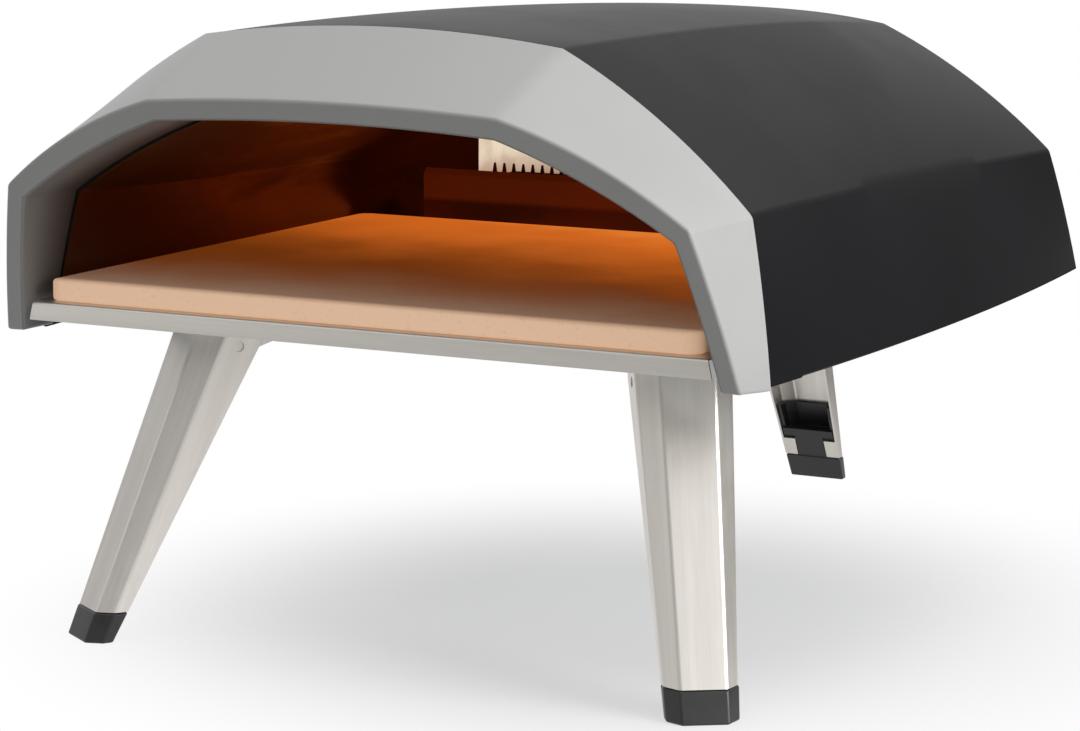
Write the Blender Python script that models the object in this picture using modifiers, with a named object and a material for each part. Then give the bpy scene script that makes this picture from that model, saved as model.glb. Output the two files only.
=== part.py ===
"""Portable gas pizza oven on three folding legs.

Metres, +Z up. The mouth faces -Y and +X is to the right as seen from the mouth.
Places along Y are measured from a datum just behind the front band, and the empty
named oven shifts the whole model so that the middle of its box is over the origin.
"""
import math

import bmesh
import bpy
from mathutils import Matrix, Vector

# Fits that all pieces share
touch_gap = 0.0003
slide_gap = 0.0004
overrun = 0.004
merge_distance = 0.00001

# Steps of the arches: along a side, a sloping shoulder and the roof
side_steps = 3
slope_steps = 5
roof_steps = 8

# Outer cover: its creases at the front, how they change towards the rear, and their bow between
shell_wall = 0.0012
shell_length = 0.4473
shell_rows = 8
skirt_height = 0.1538
skirt_half_front = 0.1907
skirt_widening = 0.0018
skirt_bow = 0.0097
shoulder_inset = 0.0046
shoulder_narrowing = 0.0114
shoulder_bow = -0.0066
shoulder_rise = 0.0777
shoulder_fall = 0.0119
roof_inset = 0.0935
roof_narrowing = 0.0179
roof_half_bow = 0.0077
roof_rise = 0.1474
roof_fall = 0.0148
roof_height_bow = 0.0059
side_crown = 0.0010
slope_crown = 0.0050
roof_crown = 0.0066
hem_width = 0.0180
hem_first_row = 1
rim_width = 0.0105
rim_screw_inset = 0.0070
fold_radius = 0.0018
fold_segments = 2
fold_angle = math.radians(18)

# Front surround: an upright mouth, a leaning band round it, and a flank that flares back to the cover
fascia_wall = 0.0030
fascia_lean = math.radians(15.64)
fascia_depth = 0.0250
fascia_rear_y = 0.0450
fascia_round = 0.0016
flank_foot_proud = 0.0067
flank_shoulder_proud = 0.0011
flank_roof_proud = 0.0014
flare_foot = 0.0037
flare_foot_rise = 0.0019
flare_shoulder = 0.0100
flare_shoulder_fall = 0.0017
flare_roof = 0.0040
flare_roof_fall = 0.0269
band_foot = 0.0099
band_shoulder = 0.0082
band_shoulder_fall = 0.0065
band_roof = 0.0024
band_roof_fall = 0.0099
band_slope_crown = 0.0049
mouth_slope_crown = 0.0032
mouth_roof_crown = 0.0033

# Floor pan with a tongue at the back that carries the burner cover and the rear leg
pan_wall = 0.0012
pan_front_inset = 0.0107
pan_side_gap = 0.0056
pan_stations = 6
pan_flange = 0.0110
pan_corner = 0.0040
tongue_inset = 0.0645
tongue_reach = 0.0554

# Boards of ceramic fibre
floor_board_thickness = 0.0129
blanket_thickness = 0.0070

# Chamber arch: an even step inside the mouth, narrower and lower at its rear
liner_wall = 0.0008
liner_rows = 4
liner_front_inset = 0.0016
burner_bay = 0.1246
liner_foot_narrowing = 0.0028
liner_shoulder_narrowing = 0.0060
liner_shoulder_fall = 0.0120
liner_roof_narrowing = 0.0076
liner_roof_fall = 0.0144

# Window of the chamber's rear wall, which the flame comes through
window_half = 0.1195
window_rise = 0.0270
window_side = 0.0260
window_roof_spread = 0.0040
window_roof_margin = 0.0095

# Tray with the turned-down front lip, and the stone
tray_wall = 0.0010
tray_side_gap = 0.0010
tray_proud = 0.0005
tray_lip = 0.0092
tray_round = 0.0020
stone_thickness = 0.0100
stone_corner = 0.0078
stone_edge = 0.0016
stone_side_gap = 0.0013
stone_front_gap = 0.0015
stone_rear_gap = 0.0110

# Strip behind the stone
shield_setback = 0.0280
shield_half = 0.1390
shield_height = 0.0330
shield_foot = 0.0120
shield_curl = 0.0030

# Burner: trough, toothed comb, hood and stands
gas_rise = 0.0322
trough_inset = 0.0015
trough_setback = 0.0087
trough_width = 0.0300
trough_height = 0.0280
trough_wall = 0.0010
trough_bevel = 0.0070
comb_inset = 0.0010
comb_wall = 0.0010
comb_drop = 0.0120
comb_height = 0.0140
tooth_height = 0.0060
tooth_pitch = 0.0060
tooth_share = 0.5
tooth_tip_share = 0.34
hood_wall = 0.0008
hood_overlap = 0.0085
hood_front_gap = 0.0012
hood_depth = 0.0440
hood_rise = 0.0560
hood_head_margin = 0.0060
hood_steps = 5
stand_place = 0.0800
stand_length = 0.0160
stand_wall = 0.0012
stand_foot = 0.0070
stand_inset = 0.0050

# Gas line, all on one upright plane through the knob
knob_inset = 0.0430
knob_lift = 0.0140
venturi_radius = 0.0080
venturi_wall = 0.0008
bell_radius = 0.0120
bell_length = 0.0160
jet_air_gap = 0.0082
jet_radius = 0.0034
jet_collar_radius = 0.0052
jet_collar = 0.0040
jet_reach = 0.0115
jet_seat = 0.0070
jet_bore = 0.0007
jet_nose_radius = 0.0021
valve_width = 0.0300
valve_length = 0.0350
valve_below = 0.0140
valve_above = 0.0160
valve_edge = 0.0020
valve_screw_inset = 0.0042
plug_radius = 0.0062
plug_length = 0.0240
plug_setback = 0.0030
plug_floor = 0.0030
plug_taper = 0.0008
stem_radius = 0.0040
stem_length = 0.0385
stem_end_gap = 0.0010
stem_flat = 0.0014
spring_radius = 0.0030
spring_wire = 0.0004
spring_turns = 4
spring_points = 8
push_travel = 0.0030
inlet_radius = 0.0065
inlet_bore = 0.0040
inlet_spigot_radius = 0.0048
inlet_seat = 0.0080
inlet_nut_radius = 0.0098
inlet_nut_height = 0.0070
inlet_reach = 0.0210
inlet_groove = 0.0006
inlet_threads = 3
igniter_width = 0.0120
igniter_length = 0.0260
igniter_height = 0.0140

# Knob
knob_radius = 0.0210
knob_base_share = 0.38
knob_depth = 0.0200
knob_skirt = 0.0050
knob_grip_width = 0.0090
knob_round = 0.0015
knob_seat_depth = 0.0140

# Spark electrode and its lead
electrode_x = -0.0400
electrode_lift = 0.0260
electrode_radius = 0.0008
electrode_tail = 0.0140
electrode_drop = 0.0030
insulator_radius = 0.0035
insulator_collar_radius = 0.0055
insulator_collar = 0.0030
insulator_front = 0.0130
insulator_rear = 0.0090
lead_radius = 0.0014
lead_lift = 0.0100
lead_steps = 16

# Burner cover on the back, with air slots
cover_wall = 0.0012
cover_shoulder_rise = 0.0060
cover_rise = 0.0380
cover_roof_inset = 0.0520
cover_crown = 0.0030
cover_fall = 0.0100
cover_flange = 0.0130
cover_round = 0.0030
cover_screw_foot = 0.0132
cover_screw_head = 0.0060
slot_count = 6
slot_pitch = 0.0110
slot_width = 0.0040
slot_height = 0.0300
slot_start = 0.0300

# Legs: sections at the foot and at the top, measured square to the leg
leg_wall = 0.0012
leg_splay = math.radians(21.8)
leg_face_foot = 0.0214
leg_face_top = 0.0267
leg_chamfer_foot = 0.0091
leg_chamfer_top = 0.0157
leg_chamfer_angle = math.radians(49)
leg_reference_length = 0.1758
leg_depth_foot = 0.0109
leg_depth_pin = 0.0304
leg_pin_inset = 0.0200
leg_fold_radius = 0.0014
leg_spare_depth = 0.0060
leg_head_steps = 7
front_leg_inset = 0.0203
front_leg_setback = 0.0202
front_leg_turn = math.radians(34)
rear_leg_reach = 0.0536
tab_width = 0.0075
tab_height = 0.0120

# Feet
shoe_height = 0.0147
shoe_proud = 0.0004
shoe_round = 0.0010
lining_head = 0.0480
bar_foot = 0.0278
bar_head = 0.0325
lining_wall = 0.0020

# Leg brackets and pins
pin_drop = 0.0115
pin_radius = 0.0025
pin_chamfer = 0.0004
bracket_wall = 0.0015
bracket_half = 0.0202
bracket_front = 0.0050
bracket_back = 0.0400
bracket_round = 0.0020
ear_drop = 0.0052
ear_steps = 6

# Fasteners
screw_radius = 0.0015
screw_head_radius = 0.0034
screw_head = 0.0018
screw_length = 0.0060
hem_screw_shares = (0.2, 0.8)
rivet_radius = 0.0016
rivet_head_radius = 0.0033
rivet_head = 0.0012
rivet_half_spacing = 0.0090
rivet_back = 0.0140
boss_radius = 0.0030
boss_length = 0.0080
fastener_sides = 8
hole_sides = 8
small_sides = 10
round_sides = 20

# Turns that lay a flat outline upright
front_turn = (math.pi / 2, 0, 0)
side_turn = (math.pi / 2, 0, math.pi / 2)
back_turn = (-math.pi / 2, 0, 0)

# Creases of the cover, the surround and the chamber
skirt_half_rear = skirt_half_front + skirt_widening
tongue_half = skirt_half_rear - tongue_inset
cover_roof_half = tongue_half - cover_roof_inset
knob_x = knob_inset - tongue_half
shoulder_half_front = skirt_half_front - shoulder_inset
shoulder_half_rear = shoulder_half_front - shoulder_narrowing
shoulder_height_front = skirt_height + shoulder_rise
shoulder_height_rear = shoulder_height_front - shoulder_fall
roof_half_front = shoulder_half_front - roof_inset
roof_half_rear = roof_half_front - roof_narrowing
roof_height_front = skirt_height + roof_rise
roof_height_rear = roof_height_front - roof_fall
flank_foot_half = skirt_half_front + flank_foot_proud
flank_foot_height = skirt_height + touch_gap
flank_shoulder_half = shoulder_half_front + flank_shoulder_proud
flank_shoulder_height = shoulder_height_front - touch_gap
flank_roof_half = roof_half_front + flank_roof_proud
band_foot_half = flank_foot_half - flare_foot
fascia_foot_height = flank_foot_height + flare_foot_rise
band_shoulder_half = flank_shoulder_half - flare_shoulder
band_shoulder_height = flank_shoulder_height - flare_shoulder_fall
band_roof_half = flank_roof_half - flare_roof
band_roof_height = roof_height_front - flare_roof_fall
mouth_foot_half = band_foot_half - band_foot
mouth_shoulder_half = band_shoulder_half - band_shoulder
mouth_shoulder_height = band_shoulder_height - band_shoulder_fall
mouth_roof_half = band_roof_half - band_roof
mouth_roof_height = band_roof_height - band_roof_fall
liner_foot_half_rear = mouth_foot_half - liner_foot_narrowing
liner_shoulder_half_rear = mouth_shoulder_half - liner_shoulder_narrowing
liner_shoulder_height_rear = mouth_shoulder_height - liner_shoulder_fall
liner_roof_half_rear = mouth_roof_half - liner_roof_narrowing
liner_roof_height_rear = mouth_roof_height - liner_roof_fall

# Levels, from the pan up to the stone
pan_underside = skirt_height + shell_wall + touch_gap
pan_top = pan_underside + pan_wall
pan_seat = pan_top + touch_gap
board_top = pan_seat + floor_board_thickness
tray_foot = board_top + touch_gap
tray_top = tray_foot + tray_wall
stone_foot = tray_top + touch_gap
stone_top = stone_foot + stone_thickness
pin_height = pan_underside - pin_drop

# Places along the cover, from the front to the rear
fascia_foot_y = fascia_rear_y - fascia_depth
tray_front_y = fascia_foot_y - tray_proud
stone_front_y = tray_front_y + tray_round + stone_front_gap
shell_front_y = fascia_rear_y + touch_gap
shell_rear_y = shell_front_y + shell_length
liner_front_y = fascia_rear_y + touch_gap
liner_rear_y = shell_rear_y - burner_bay
shield_y = liner_rear_y - shield_setback
stone_rear_y = shield_y - stone_rear_gap
rear_wall_y = liner_rear_y + touch_gap
hood_front_y = rear_wall_y + liner_wall + hood_front_gap
hood_rear_y = hood_front_y + hood_depth
trough_front_y = hood_front_y + trough_setback
trough_rear_y = trough_front_y + trough_width
panel_rear_y = shell_rear_y - shell_wall - touch_gap
panel_front_y = panel_rear_y - shell_wall
pan_front_y = shell_front_y + pan_front_inset
pan_rear_y = panel_front_y - slide_gap
tongue_rear_y = shell_rear_y + tongue_reach
cover_front_y = panel_rear_y + touch_gap
cover_inner_y = tongue_rear_y + touch_gap
cover_outer_y = cover_inner_y + cover_wall
valve_rear_y = cover_inner_y - touch_gap
valve_front_y = valve_rear_y - valve_length
inlet_y = valve_rear_y - valve_length / 2
jet_tip_y = valve_front_y - jet_reach
plug_front_y = valve_rear_y - plug_setback - plug_length
knob_gap = push_travel + screw_head + touch_gap + slide_gap
stem_rear_y = cover_outer_y + knob_gap + knob_seat_depth - stem_end_gap
stem_front_y = stem_rear_y - stem_length

# Burner and gas line, about the height of the gas tube
gas_height = skirt_height + gas_rise
knob_height = gas_height + knob_lift
electrode_height = gas_height + electrode_lift
trough_foot = gas_height - trough_height / 2
trough_head = gas_height + trough_height / 2
trough_half = window_half - trough_inset
comb_half = trough_half - comb_inset
comb_foot = trough_head - comb_drop
hood_half = window_half + hood_overlap
hood_mouth_height = liner_roof_height_rear - hood_head_margin
valve_foot = gas_height - valve_below
valve_head = knob_height + valve_above
cover_shoulder = knob_height + cover_shoulder_rise
cover_head = cover_shoulder + cover_rise

# Legs
front_leg_x = skirt_half_front - front_leg_inset
front_leg_y = fascia_foot_y + front_leg_setback
rear_leg_y = tongue_rear_y + rear_leg_reach
leg_reach = (pin_height + leg_pin_inset * math.sin(leg_splay)) / math.cos(leg_splay)
leg_edge_at_pin = leg_depth_pin - leg_pin_inset
leg_edge_slope = (leg_depth_pin - leg_depth_foot) / leg_reach
leg_foot_height = shoe_height + touch_gap - pin_height
leg_head_radius = pin_drop - touch_gap
pin_setback = leg_reach * math.sin(leg_splay) + leg_pin_inset * math.cos(leg_splay)

# Middle of the whole box along Y
fascia_crest = band_roof_height + mouth_roof_crown
front_reach = fascia_foot_y - math.tan(fascia_lean) * (fascia_crest - fascia_foot_height)
rear_reach = rear_leg_y + shoe_proud
middle_y = (front_reach + rear_reach) / 2


# Scene, collections and materials
for old in list(bpy.data.objects):
    bpy.data.objects.remove(old, do_unlink=True)

parts = bpy.data.collections.new("pizza_oven")
cutters = bpy.data.collections.new("cutters")
bpy.context.scene.collection.children.link(parts)
bpy.context.scene.collection.children.link(cutters)

oven = bpy.data.objects.new("oven", None)
oven.location = (0, -middle_y, 0)
parts.objects.link(oven)


def finish(name, colour, roughness, metallic):
    """A plain material with the piece's own colour."""
    material = bpy.data.materials.new(name)
    material.use_nodes = True
    shader = material.node_tree.nodes["Principled BSDF"]
    shader.inputs["Base Color"].default_value = (*colour, 1)
    shader.inputs["Roughness"].default_value = roughness
    shader.inputs["Metallic"].default_value = metallic
    material.diffuse_color = (*colour, 1)
    return material


black_powder = finish("black_powder_coat", (0.020, 0.021, 0.023), 0.55, 0.0)
grey_moulding = finish("grey_moulding", (0.42, 0.43, 0.42), 0.50, 0.0)
brushed_steel = finish("brushed_stainless", (0.66, 0.64, 0.60), 0.34, 1.0)
heated_steel = finish("heated_stainless", (0.30, 0.22, 0.16), 0.42, 1.0)
galvanised = finish("galvanised_steel", (0.55, 0.57, 0.58), 0.45, 1.0)
fibre_board = finish("fibre_board", (0.78, 0.74, 0.66), 0.95, 0.0)
cordierite = finish("cordierite", (0.72, 0.52, 0.36), 0.88, 0.0)
brass = finish("brass", (0.72, 0.52, 0.22), 0.32, 1.0)
cast_alloy = finish("cast_alloy", (0.52, 0.52, 0.53), 0.48, 1.0)
black_plastic = finish("black_plastic", (0.025, 0.025, 0.026), 0.45, 0.0)
ceramic = finish("white_ceramic", (0.86, 0.84, 0.80), 0.35, 0.0)
spring_steel = finish("spring_steel", (0.50, 0.50, 0.52), 0.30, 1.0)
red_silicone = finish("silicone_lead", (0.45, 0.06, 0.04), 0.50, 0.0)


# Helpers that hold the ways these pieces are made
def mesh_of(bm, name):
    mesh = bpy.data.meshes.new(name)
    bm.to_mesh(mesh)
    bm.free()
    return mesh


def closed_mesh(bm, name):
    """A closed body whose faces all look outwards."""
    bmesh.ops.remove_doubles(bm, verts=bm.verts, dist=merge_distance)
    bmesh.ops.recalc_face_normals(bm, faces=bm.faces)
    if bm.calc_volume(signed=True) < 0:
        bmesh.ops.reverse_faces(bm, faces=bm.faces)
    return mesh_of(bm, name)


def add(name, mesh, material, parent=oven, place=(0, 0, 0), turn=(0, 0, 0)):
    """Puts a mesh in the model as one named sub-part."""
    piece = bpy.data.objects.new(name, mesh)
    mesh.materials.clear()
    mesh.materials.append(material)
    piece.parent = parent
    piece.location = place
    piece.rotation_euler = turn
    parts.objects.link(piece)
    mesh.shade_smooth()
    mesh.set_sharp_from_angle(angle=math.radians(30))
    return piece


def tool(name, mesh, parent=oven, place=(0, 0, 0), turn=(0, 0, 0)):
    """Puts a mesh in the model as a cutter or a guide."""
    piece = bpy.data.objects.new(name, mesh)
    piece.parent = parent
    piece.location = place
    piece.rotation_euler = turn
    piece.hide_render = True
    piece.display_type = "WIRE"
    cutters.objects.link(piece)
    return piece


def combine(piece, other, operation):
    boolean = piece.modifiers.new(operation.lower(), "BOOLEAN")
    boolean.operation = operation
    boolean.solver = "EXACT"
    boolean.object = other


def thicken(piece, wall):
    """Gives an open surface its wall, on the side away from its normals."""
    solid = piece.modifiers.new("wall", "SOLIDIFY")
    solid.thickness = wall
    solid.offset = -1
    solid.use_even_offset = True
    solid.use_quality_normals = True


def round_edges(piece, width, segments=2, angle=math.radians(30)):
    bevel = piece.modifiers.new("round", "BEVEL")
    bevel.width = width
    bevel.segments = segments
    bevel.limit_method = "ANGLE"
    bevel.angle_limit = angle


def frozen(piece):
    """The mesh of a piece with its modifiers applied; the piece itself is removed."""
    bpy.context.view_layer.update()
    graph = bpy.context.evaluated_depsgraph_get()
    mesh = bpy.data.meshes.new_from_object(piece.evaluated_get(graph))
    bpy.data.objects.remove(piece, do_unlink=True)
    return mesh


def box(name, low, high):
    bm = bmesh.new()
    bmesh.ops.create_cube(bm, size=1)
    bmesh.ops.scale(bm, vec=[b - a for a, b in zip(low, high)], verts=bm.verts)
    bmesh.ops.translate(bm, vec=[(a + b) / 2 for a, b in zip(low, high)], verts=bm.verts)
    return mesh_of(bm, name)


def cylinders(name, radius, length, frames, sides=hole_sides):
    """Equal closed cylinders along the local Z of each frame, in one mesh."""
    bm = bmesh.new()
    for frame in frames:
        bmesh.ops.create_cone(bm, cap_ends=True, segments=sides, radius1=radius,
                              radius2=radius, depth=length, matrix=frame)
    return mesh_of(bm, name)


def plate(name, outlines, thickness):
    """A flat plate in the XY plane; the outlines after the first one are its holes."""
    curve = bpy.data.curves.new(name, "CURVE")
    curve.dimensions = "2D"
    curve.fill_mode = "BOTH"
    curve.extrude = thickness / 2
    for outline in outlines:
        spline = curve.splines.new("POLY")
        spline.points.add(len(outline) - 1)
        for point, (x, y) in zip(spline.points, outline):
            point.co = (x, y, 0, 1)
        spline.use_cyclic_u = True
    shape = bpy.data.objects.new(name, curve)
    bpy.context.scene.collection.objects.link(shape)
    mesh = frozen(shape)
    bm = bmesh.new()
    bm.from_mesh(mesh)
    return closed_mesh(bm, name)


def turned(name, profile, sides=round_sides):
    """A turned piece about Z from a profile that runs from the top down its outer side."""
    bm = bmesh.new()
    verts = [bm.verts.new((radius, 0, height)) for radius, height in profile]
    for first, second in zip(verts, verts[1:]):
        bm.edges.new((first, second))
    shape = bpy.data.objects.new(name, mesh_of(bm, name))
    screw = shape.modifiers.new("turn", "SCREW")
    screw.steps = sides
    screw.render_steps = sides
    screw.use_merge_vertices = True
    screw.merge_threshold = merge_distance
    bpy.context.scene.collection.objects.link(shape)
    return frozen(shape)


def tube(name, points, radius, sides_level=2):
    """A round rod or wire along the points."""
    curve = bpy.data.curves.new(name, "CURVE")
    curve.dimensions = "3D"
    curve.bevel_depth = radius
    curve.bevel_resolution = sides_level
    curve.use_fill_caps = True
    spline = curve.splines.new("POLY")
    spline.points.add(len(points) - 1)
    for point, place in zip(spline.points, points):
        point.co = (*place, 1)
    shape = bpy.data.objects.new(name, curve)
    bpy.context.scene.collection.objects.link(shape)
    bm = bmesh.new()
    bm.from_mesh(frozen(shape))
    bmesh.ops.remove_doubles(bm, verts=bm.verts, dist=merge_distance)
    return mesh_of(bm, name)


def loft(bm, rows):
    """Quads between rows of points; returns the rows of vertices."""
    grid = [[bm.verts.new(point) for point in row] for row in rows]
    for row, following in zip(grid, grid[1:]):
        for i in range(len(row) - 1):
            bm.faces.new((row[i], row[i + 1], following[i + 1], following[i]))
    return grid


def closed_loft(name, sections):
    """A closed body through closed sections, with both ends capped."""
    bm = bmesh.new()
    grid = loft(bm, [section + section[:1] for section in sections])
    bm.faces.new(grid[0][:-1])
    bm.faces.new(grid[-1][:-1])
    return closed_mesh(bm, name)


def folded_sheet(name, profile, half_length, wall, radius=0):
    """A sheet folded along a (y, z) profile and as long as needed along X."""
    bm = bmesh.new()
    loft(bm, [[(x, y, z) for y, z in profile] for x in (-half_length, half_length)])
    piece = bpy.data.objects.new(name, mesh_of(bm, name))
    bpy.context.scene.collection.objects.link(piece)
    if radius:
        round_edges(piece, radius)
    thicken(piece, wall)
    return frozen(piece)


def circle(x, y, radius, sides=hole_sides):
    angles = [2 * math.pi * i / sides for i in range(sides)]
    return [(x + radius * math.cos(a), y + radius * math.sin(a)) for a in angles]


def arc(x, y, radius, start, end, steps):
    angles = [start + (end - start) * i / steps for i in range(steps + 1)]
    return [(x + radius * math.cos(a), y + radius * math.sin(a)) for a in angles]


def bowed(front, rear, bow, share):
    return front + (rear - front) * share + bow * 4 * share * (1 - share)


def crowned(start, end, crown, steps):
    """Points from start up to end on a shallow arc that swells to the left of its chord."""
    run = Vector(end) - Vector(start)
    out = Vector((-run.y, run.x)).normalized()
    points = []
    for i in range(steps):
        share = i / steps
        points.append(tuple(Vector(start) + run * share + out * crown * 4 * share * (1 - share)))
    return points


def arch(foot, shoulder, roof, crowns):
    """An arch outline in (x, z) from its left foot over the roof to its right foot."""
    side, slope, top = crowns
    left_foot, left_shoulder, left_roof = [(-x, z) for x, z in (foot, shoulder, roof)]
    outline = crowned(left_foot, left_shoulder, side, side_steps)
    outline += crowned(left_shoulder, left_roof, slope, slope_steps)
    outline += crowned(left_roof, roof, top, roof_steps)
    outline += crowned(roof, shoulder, slope, slope_steps)
    outline += crowned(shoulder, foot, side, side_steps)
    return outline + [foot]


def offset(outline, distance):
    """The open outline moved to its left by a distance, with mitred corners."""
    points = [Vector(point) for point in outline]
    normals = [Vector((-(b - a).y, (b - a).x)).normalized() for a, b in zip(points, points[1:])]
    moved = [points[0] + normals[0] * distance]
    for point, before, after in zip(points[1:], normals, normals[1:]):
        moved.append(point + (before + after) * distance / (1 + before.dot(after)))
    moved.append(points[-1] + normals[-1] * distance)
    return [tuple(point) for point in moved]


def raised_ends(outline, height):
    """The arch outline with its feet cut off at a height."""
    def cut(low, high):
        share = (height - low[1]) / (high[1] - low[1])
        return (low[0] + (high[0] - low[0]) * share, height)

    return [cut(outline[0], outline[1])] + outline[1:-1] + [cut(outline[-1], outline[-2])]


def at_y(outline, y):
    return [(x, y, z) for x, z in outline]


def frame_at(place, turn=(0, 0, 0)):
    """A placing matrix from a point and turns about X, Y and Z."""
    matrix = Matrix.Translation(place)
    for angle, axis in zip(reversed(turn), "ZYX"):
        matrix = matrix @ Matrix.Rotation(angle, 4, axis)
    return matrix


# Outer cover
def shell_arch(y):
    share = (y - shell_front_y) / shell_length
    foot = (bowed(skirt_half_front, skirt_half_rear, skirt_bow, share), skirt_height)
    shoulder = (bowed(shoulder_half_front, shoulder_half_rear, shoulder_bow, share),
                bowed(shoulder_height_front, shoulder_height_rear, 0, share))
    roof = (bowed(roof_half_front, roof_half_rear, roof_half_bow, share),
            bowed(roof_height_front, roof_height_rear, roof_height_bow, share))
    return arch(foot, shoulder, roof, (side_crown, slope_crown, roof_crown))


def rim_places(y, picks):
    """Screw places on a turned-in rim, as (x, z) and picked by arch point."""
    middle = offset(shell_arch(y), -rim_screw_inset)
    return [middle[i] for i in picks]


arch_middle = side_steps + slope_steps + roof_steps // 2
front_screws = rim_places(shell_front_y, [side_steps, side_steps + slope_steps, arch_middle,
                                          -1 - side_steps - slope_steps, -1 - side_steps])
rear_screws = rim_places(shell_rear_y, [side_steps - 1, arch_middle, -side_steps])


def hem_screw_places():
    places = []
    for share in hem_screw_shares:
        y = shell_front_y + shell_length * share
        x = shell_arch(y)[-1][0] - hem_width / 2 - shell_wall
        places += [(x, y), (-x, y)]
    return places


def make_outer_shell():
    """The hems start a row behind the front, and the rims run out to a point at each foot."""
    bm = bmesh.new()
    ys = [shell_front_y + shell_length * i / shell_rows for i in range(shell_rows + 1)]
    grid = loft(bm, [at_y(shell_arch(y), y) for y in ys])
    for side, end in ((1, 0), (-1, -1)):
        edge = [row[end] for row in grid[hem_first_row:]]
        inner = [bm.verts.new(v.co + Vector((side * hem_width, 0, 0))) for v in edge]
        for i in range(len(edge) - 1):
            quad = (inner[i], edge[i], edge[i + 1], inner[i + 1])
            bm.faces.new(quad if side == 1 else quad[::-1])
    for row, y, front in ((grid[0], shell_front_y, True), (grid[-1], shell_rear_y, False)):
        inside = at_y(offset(shell_arch(y), -rim_width), y)
        inner = [row[0]] + [bm.verts.new(point) for point in inside[1:-1]] + [row[-1]]
        for i in range(len(row) - 1):
            strip = list(dict.fromkeys((inner[i], inner[i + 1], row[i + 1], row[i])))
            bm.faces.new(strip if front else strip[::-1])
    shell = add("outer_shell", mesh_of(bm, "outer_shell"), black_powder)
    round_edges(shell, fold_radius, fold_segments, fold_angle)
    thicken(shell, shell_wall)
    radius = screw_radius + touch_gap
    frames = [frame_at((x, shell_front_y, z), front_turn) for x, z in front_screws]
    frames += [frame_at((x, shell_rear_y, z), front_turn) for x, z in rear_screws]
    frames += [frame_at((x, y, skirt_height)) for x, y in hem_screw_places()]
    holes = tool("shell_holes", cylinders("shell_holes", radius, 2 * overrun, frames))
    combine(shell, holes, "DIFFERENCE")


# Front surround
def band_y(height):
    return fascia_foot_y - math.tan(fascia_lean) * (height - fascia_foot_height)


def on_band(outline):
    return [(x, band_y(z), z) for x, z in outline]


mouth_arch = arch((mouth_foot_half, fascia_foot_height),
                  (mouth_shoulder_half, mouth_shoulder_height),
                  (mouth_roof_half, mouth_roof_height),
                  (side_crown, mouth_slope_crown, mouth_roof_crown))
band_arch = arch((band_foot_half, fascia_foot_height),
                 (band_shoulder_half, band_shoulder_height),
                 (band_roof_half, band_roof_height),
                 (side_crown, band_slope_crown, mouth_roof_crown))
flank_arch = arch((flank_foot_half, flank_foot_height),
                  (flank_shoulder_half, flank_shoulder_height),
                  (flank_roof_half, roof_height_front),
                  (side_crown, slope_crown, roof_crown))


def make_front_fascia():
    bm = bmesh.new()
    rows = [at_y(mouth_arch, fascia_rear_y), on_band(mouth_arch), on_band(band_arch),
            at_y(flank_arch, fascia_rear_y)]
    grid = loft(bm, rows)
    bm.faces.new([row[0] for row in grid])
    bm.faces.new([row[-1] for row in reversed(grid)])
    fascia = add("front_fascia", mesh_of(bm, "front_fascia"), grey_moulding)
    round_edges(fascia, fascia_round, 2, fold_angle)
    thicken(fascia, fascia_wall)
    reach = flank_foot_half + overrun
    low = (-reach, fascia_rear_y, flank_foot_height - overrun)
    high = (reach, fascia_rear_y + overrun, roof_height_front + roof_crown + overrun)
    combine(fascia, tool("fascia_trim", box("fascia_trim", low, high)), "DIFFERENCE")
    middle = fascia_rear_y - boss_length / 2
    frames = [frame_at((x, middle, z), front_turn) for x, z in front_screws]
    bosses = tool("fascia_bosses", cylinders("fascia_bosses", boss_radius, boss_length, frames))
    combine(fascia, bosses, "UNION")
    depth = screw_length + touch_gap
    frames = [frame_at((x, fascia_rear_y, z), front_turn) for x, z in front_screws]
    radius = screw_radius + touch_gap
    holes = tool("fascia_holes", cylinders("fascia_holes", radius, 2 * depth, frames))
    combine(fascia, holes, "DIFFERENCE")


# Floor pan
leg_places = {
    "left": (-front_leg_x, front_leg_y, -front_leg_turn),
    "right": (front_leg_x, front_leg_y, front_leg_turn),
    "rear": (0, rear_leg_y, math.pi),
}


def pin_frame(side):
    """Place and turn of a leg pin: local -Y points out over the foot, local X runs along the pin."""
    x, y, turn = leg_places[side]
    outward = Vector((math.sin(turn), -math.cos(turn), 0))
    place = Vector((x, y, 0)) - outward * pin_setback
    place.z = pin_height
    return frame_at(place, (0, 0, turn))


def rivet_places(side):
    """Rivet centres of one bracket, on the underside of its base."""
    height = pin_drop - touch_gap - bracket_wall
    frame = pin_frame(side)
    return [frame @ Vector((x, rivet_back, height)) for x in (-rivet_half_spacing, rivet_half_spacing)]


def pan_half(y):
    return shell_arch(y)[-1][0] - shell_wall - pan_side_gap


def liner_arch(y):
    share = (y - liner_front_y) / (liner_rear_y - liner_front_y)
    inset = liner_front_inset
    foot = (bowed(mouth_foot_half - inset, liner_foot_half_rear, 0, share), pan_seat)
    shoulder = (bowed(mouth_shoulder_half - inset, liner_shoulder_half_rear, 0, share),
                bowed(mouth_shoulder_height - inset, liner_shoulder_height_rear, 0, share))
    roof = (bowed(mouth_roof_half - inset / 2, liner_roof_half_rear, 0, share),
            bowed(mouth_roof_height - inset, liner_roof_height_rear, 0, share))
    return arch(foot, shoulder, roof, (side_crown, mouth_slope_crown, mouth_roof_crown))


def liner_half(y, height):
    """Inner half width of the chamber at a height below its shoulder."""
    foot, shoulder = liner_arch(y)[-1], liner_arch(y)[-1 - side_steps]
    share = (height - foot[1]) / (shoulder[1] - foot[1])
    return foot[0] + (shoulder[0] - foot[0]) * share


pan_front_half = liner_half(pan_front_y, board_top) - slide_gap


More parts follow.
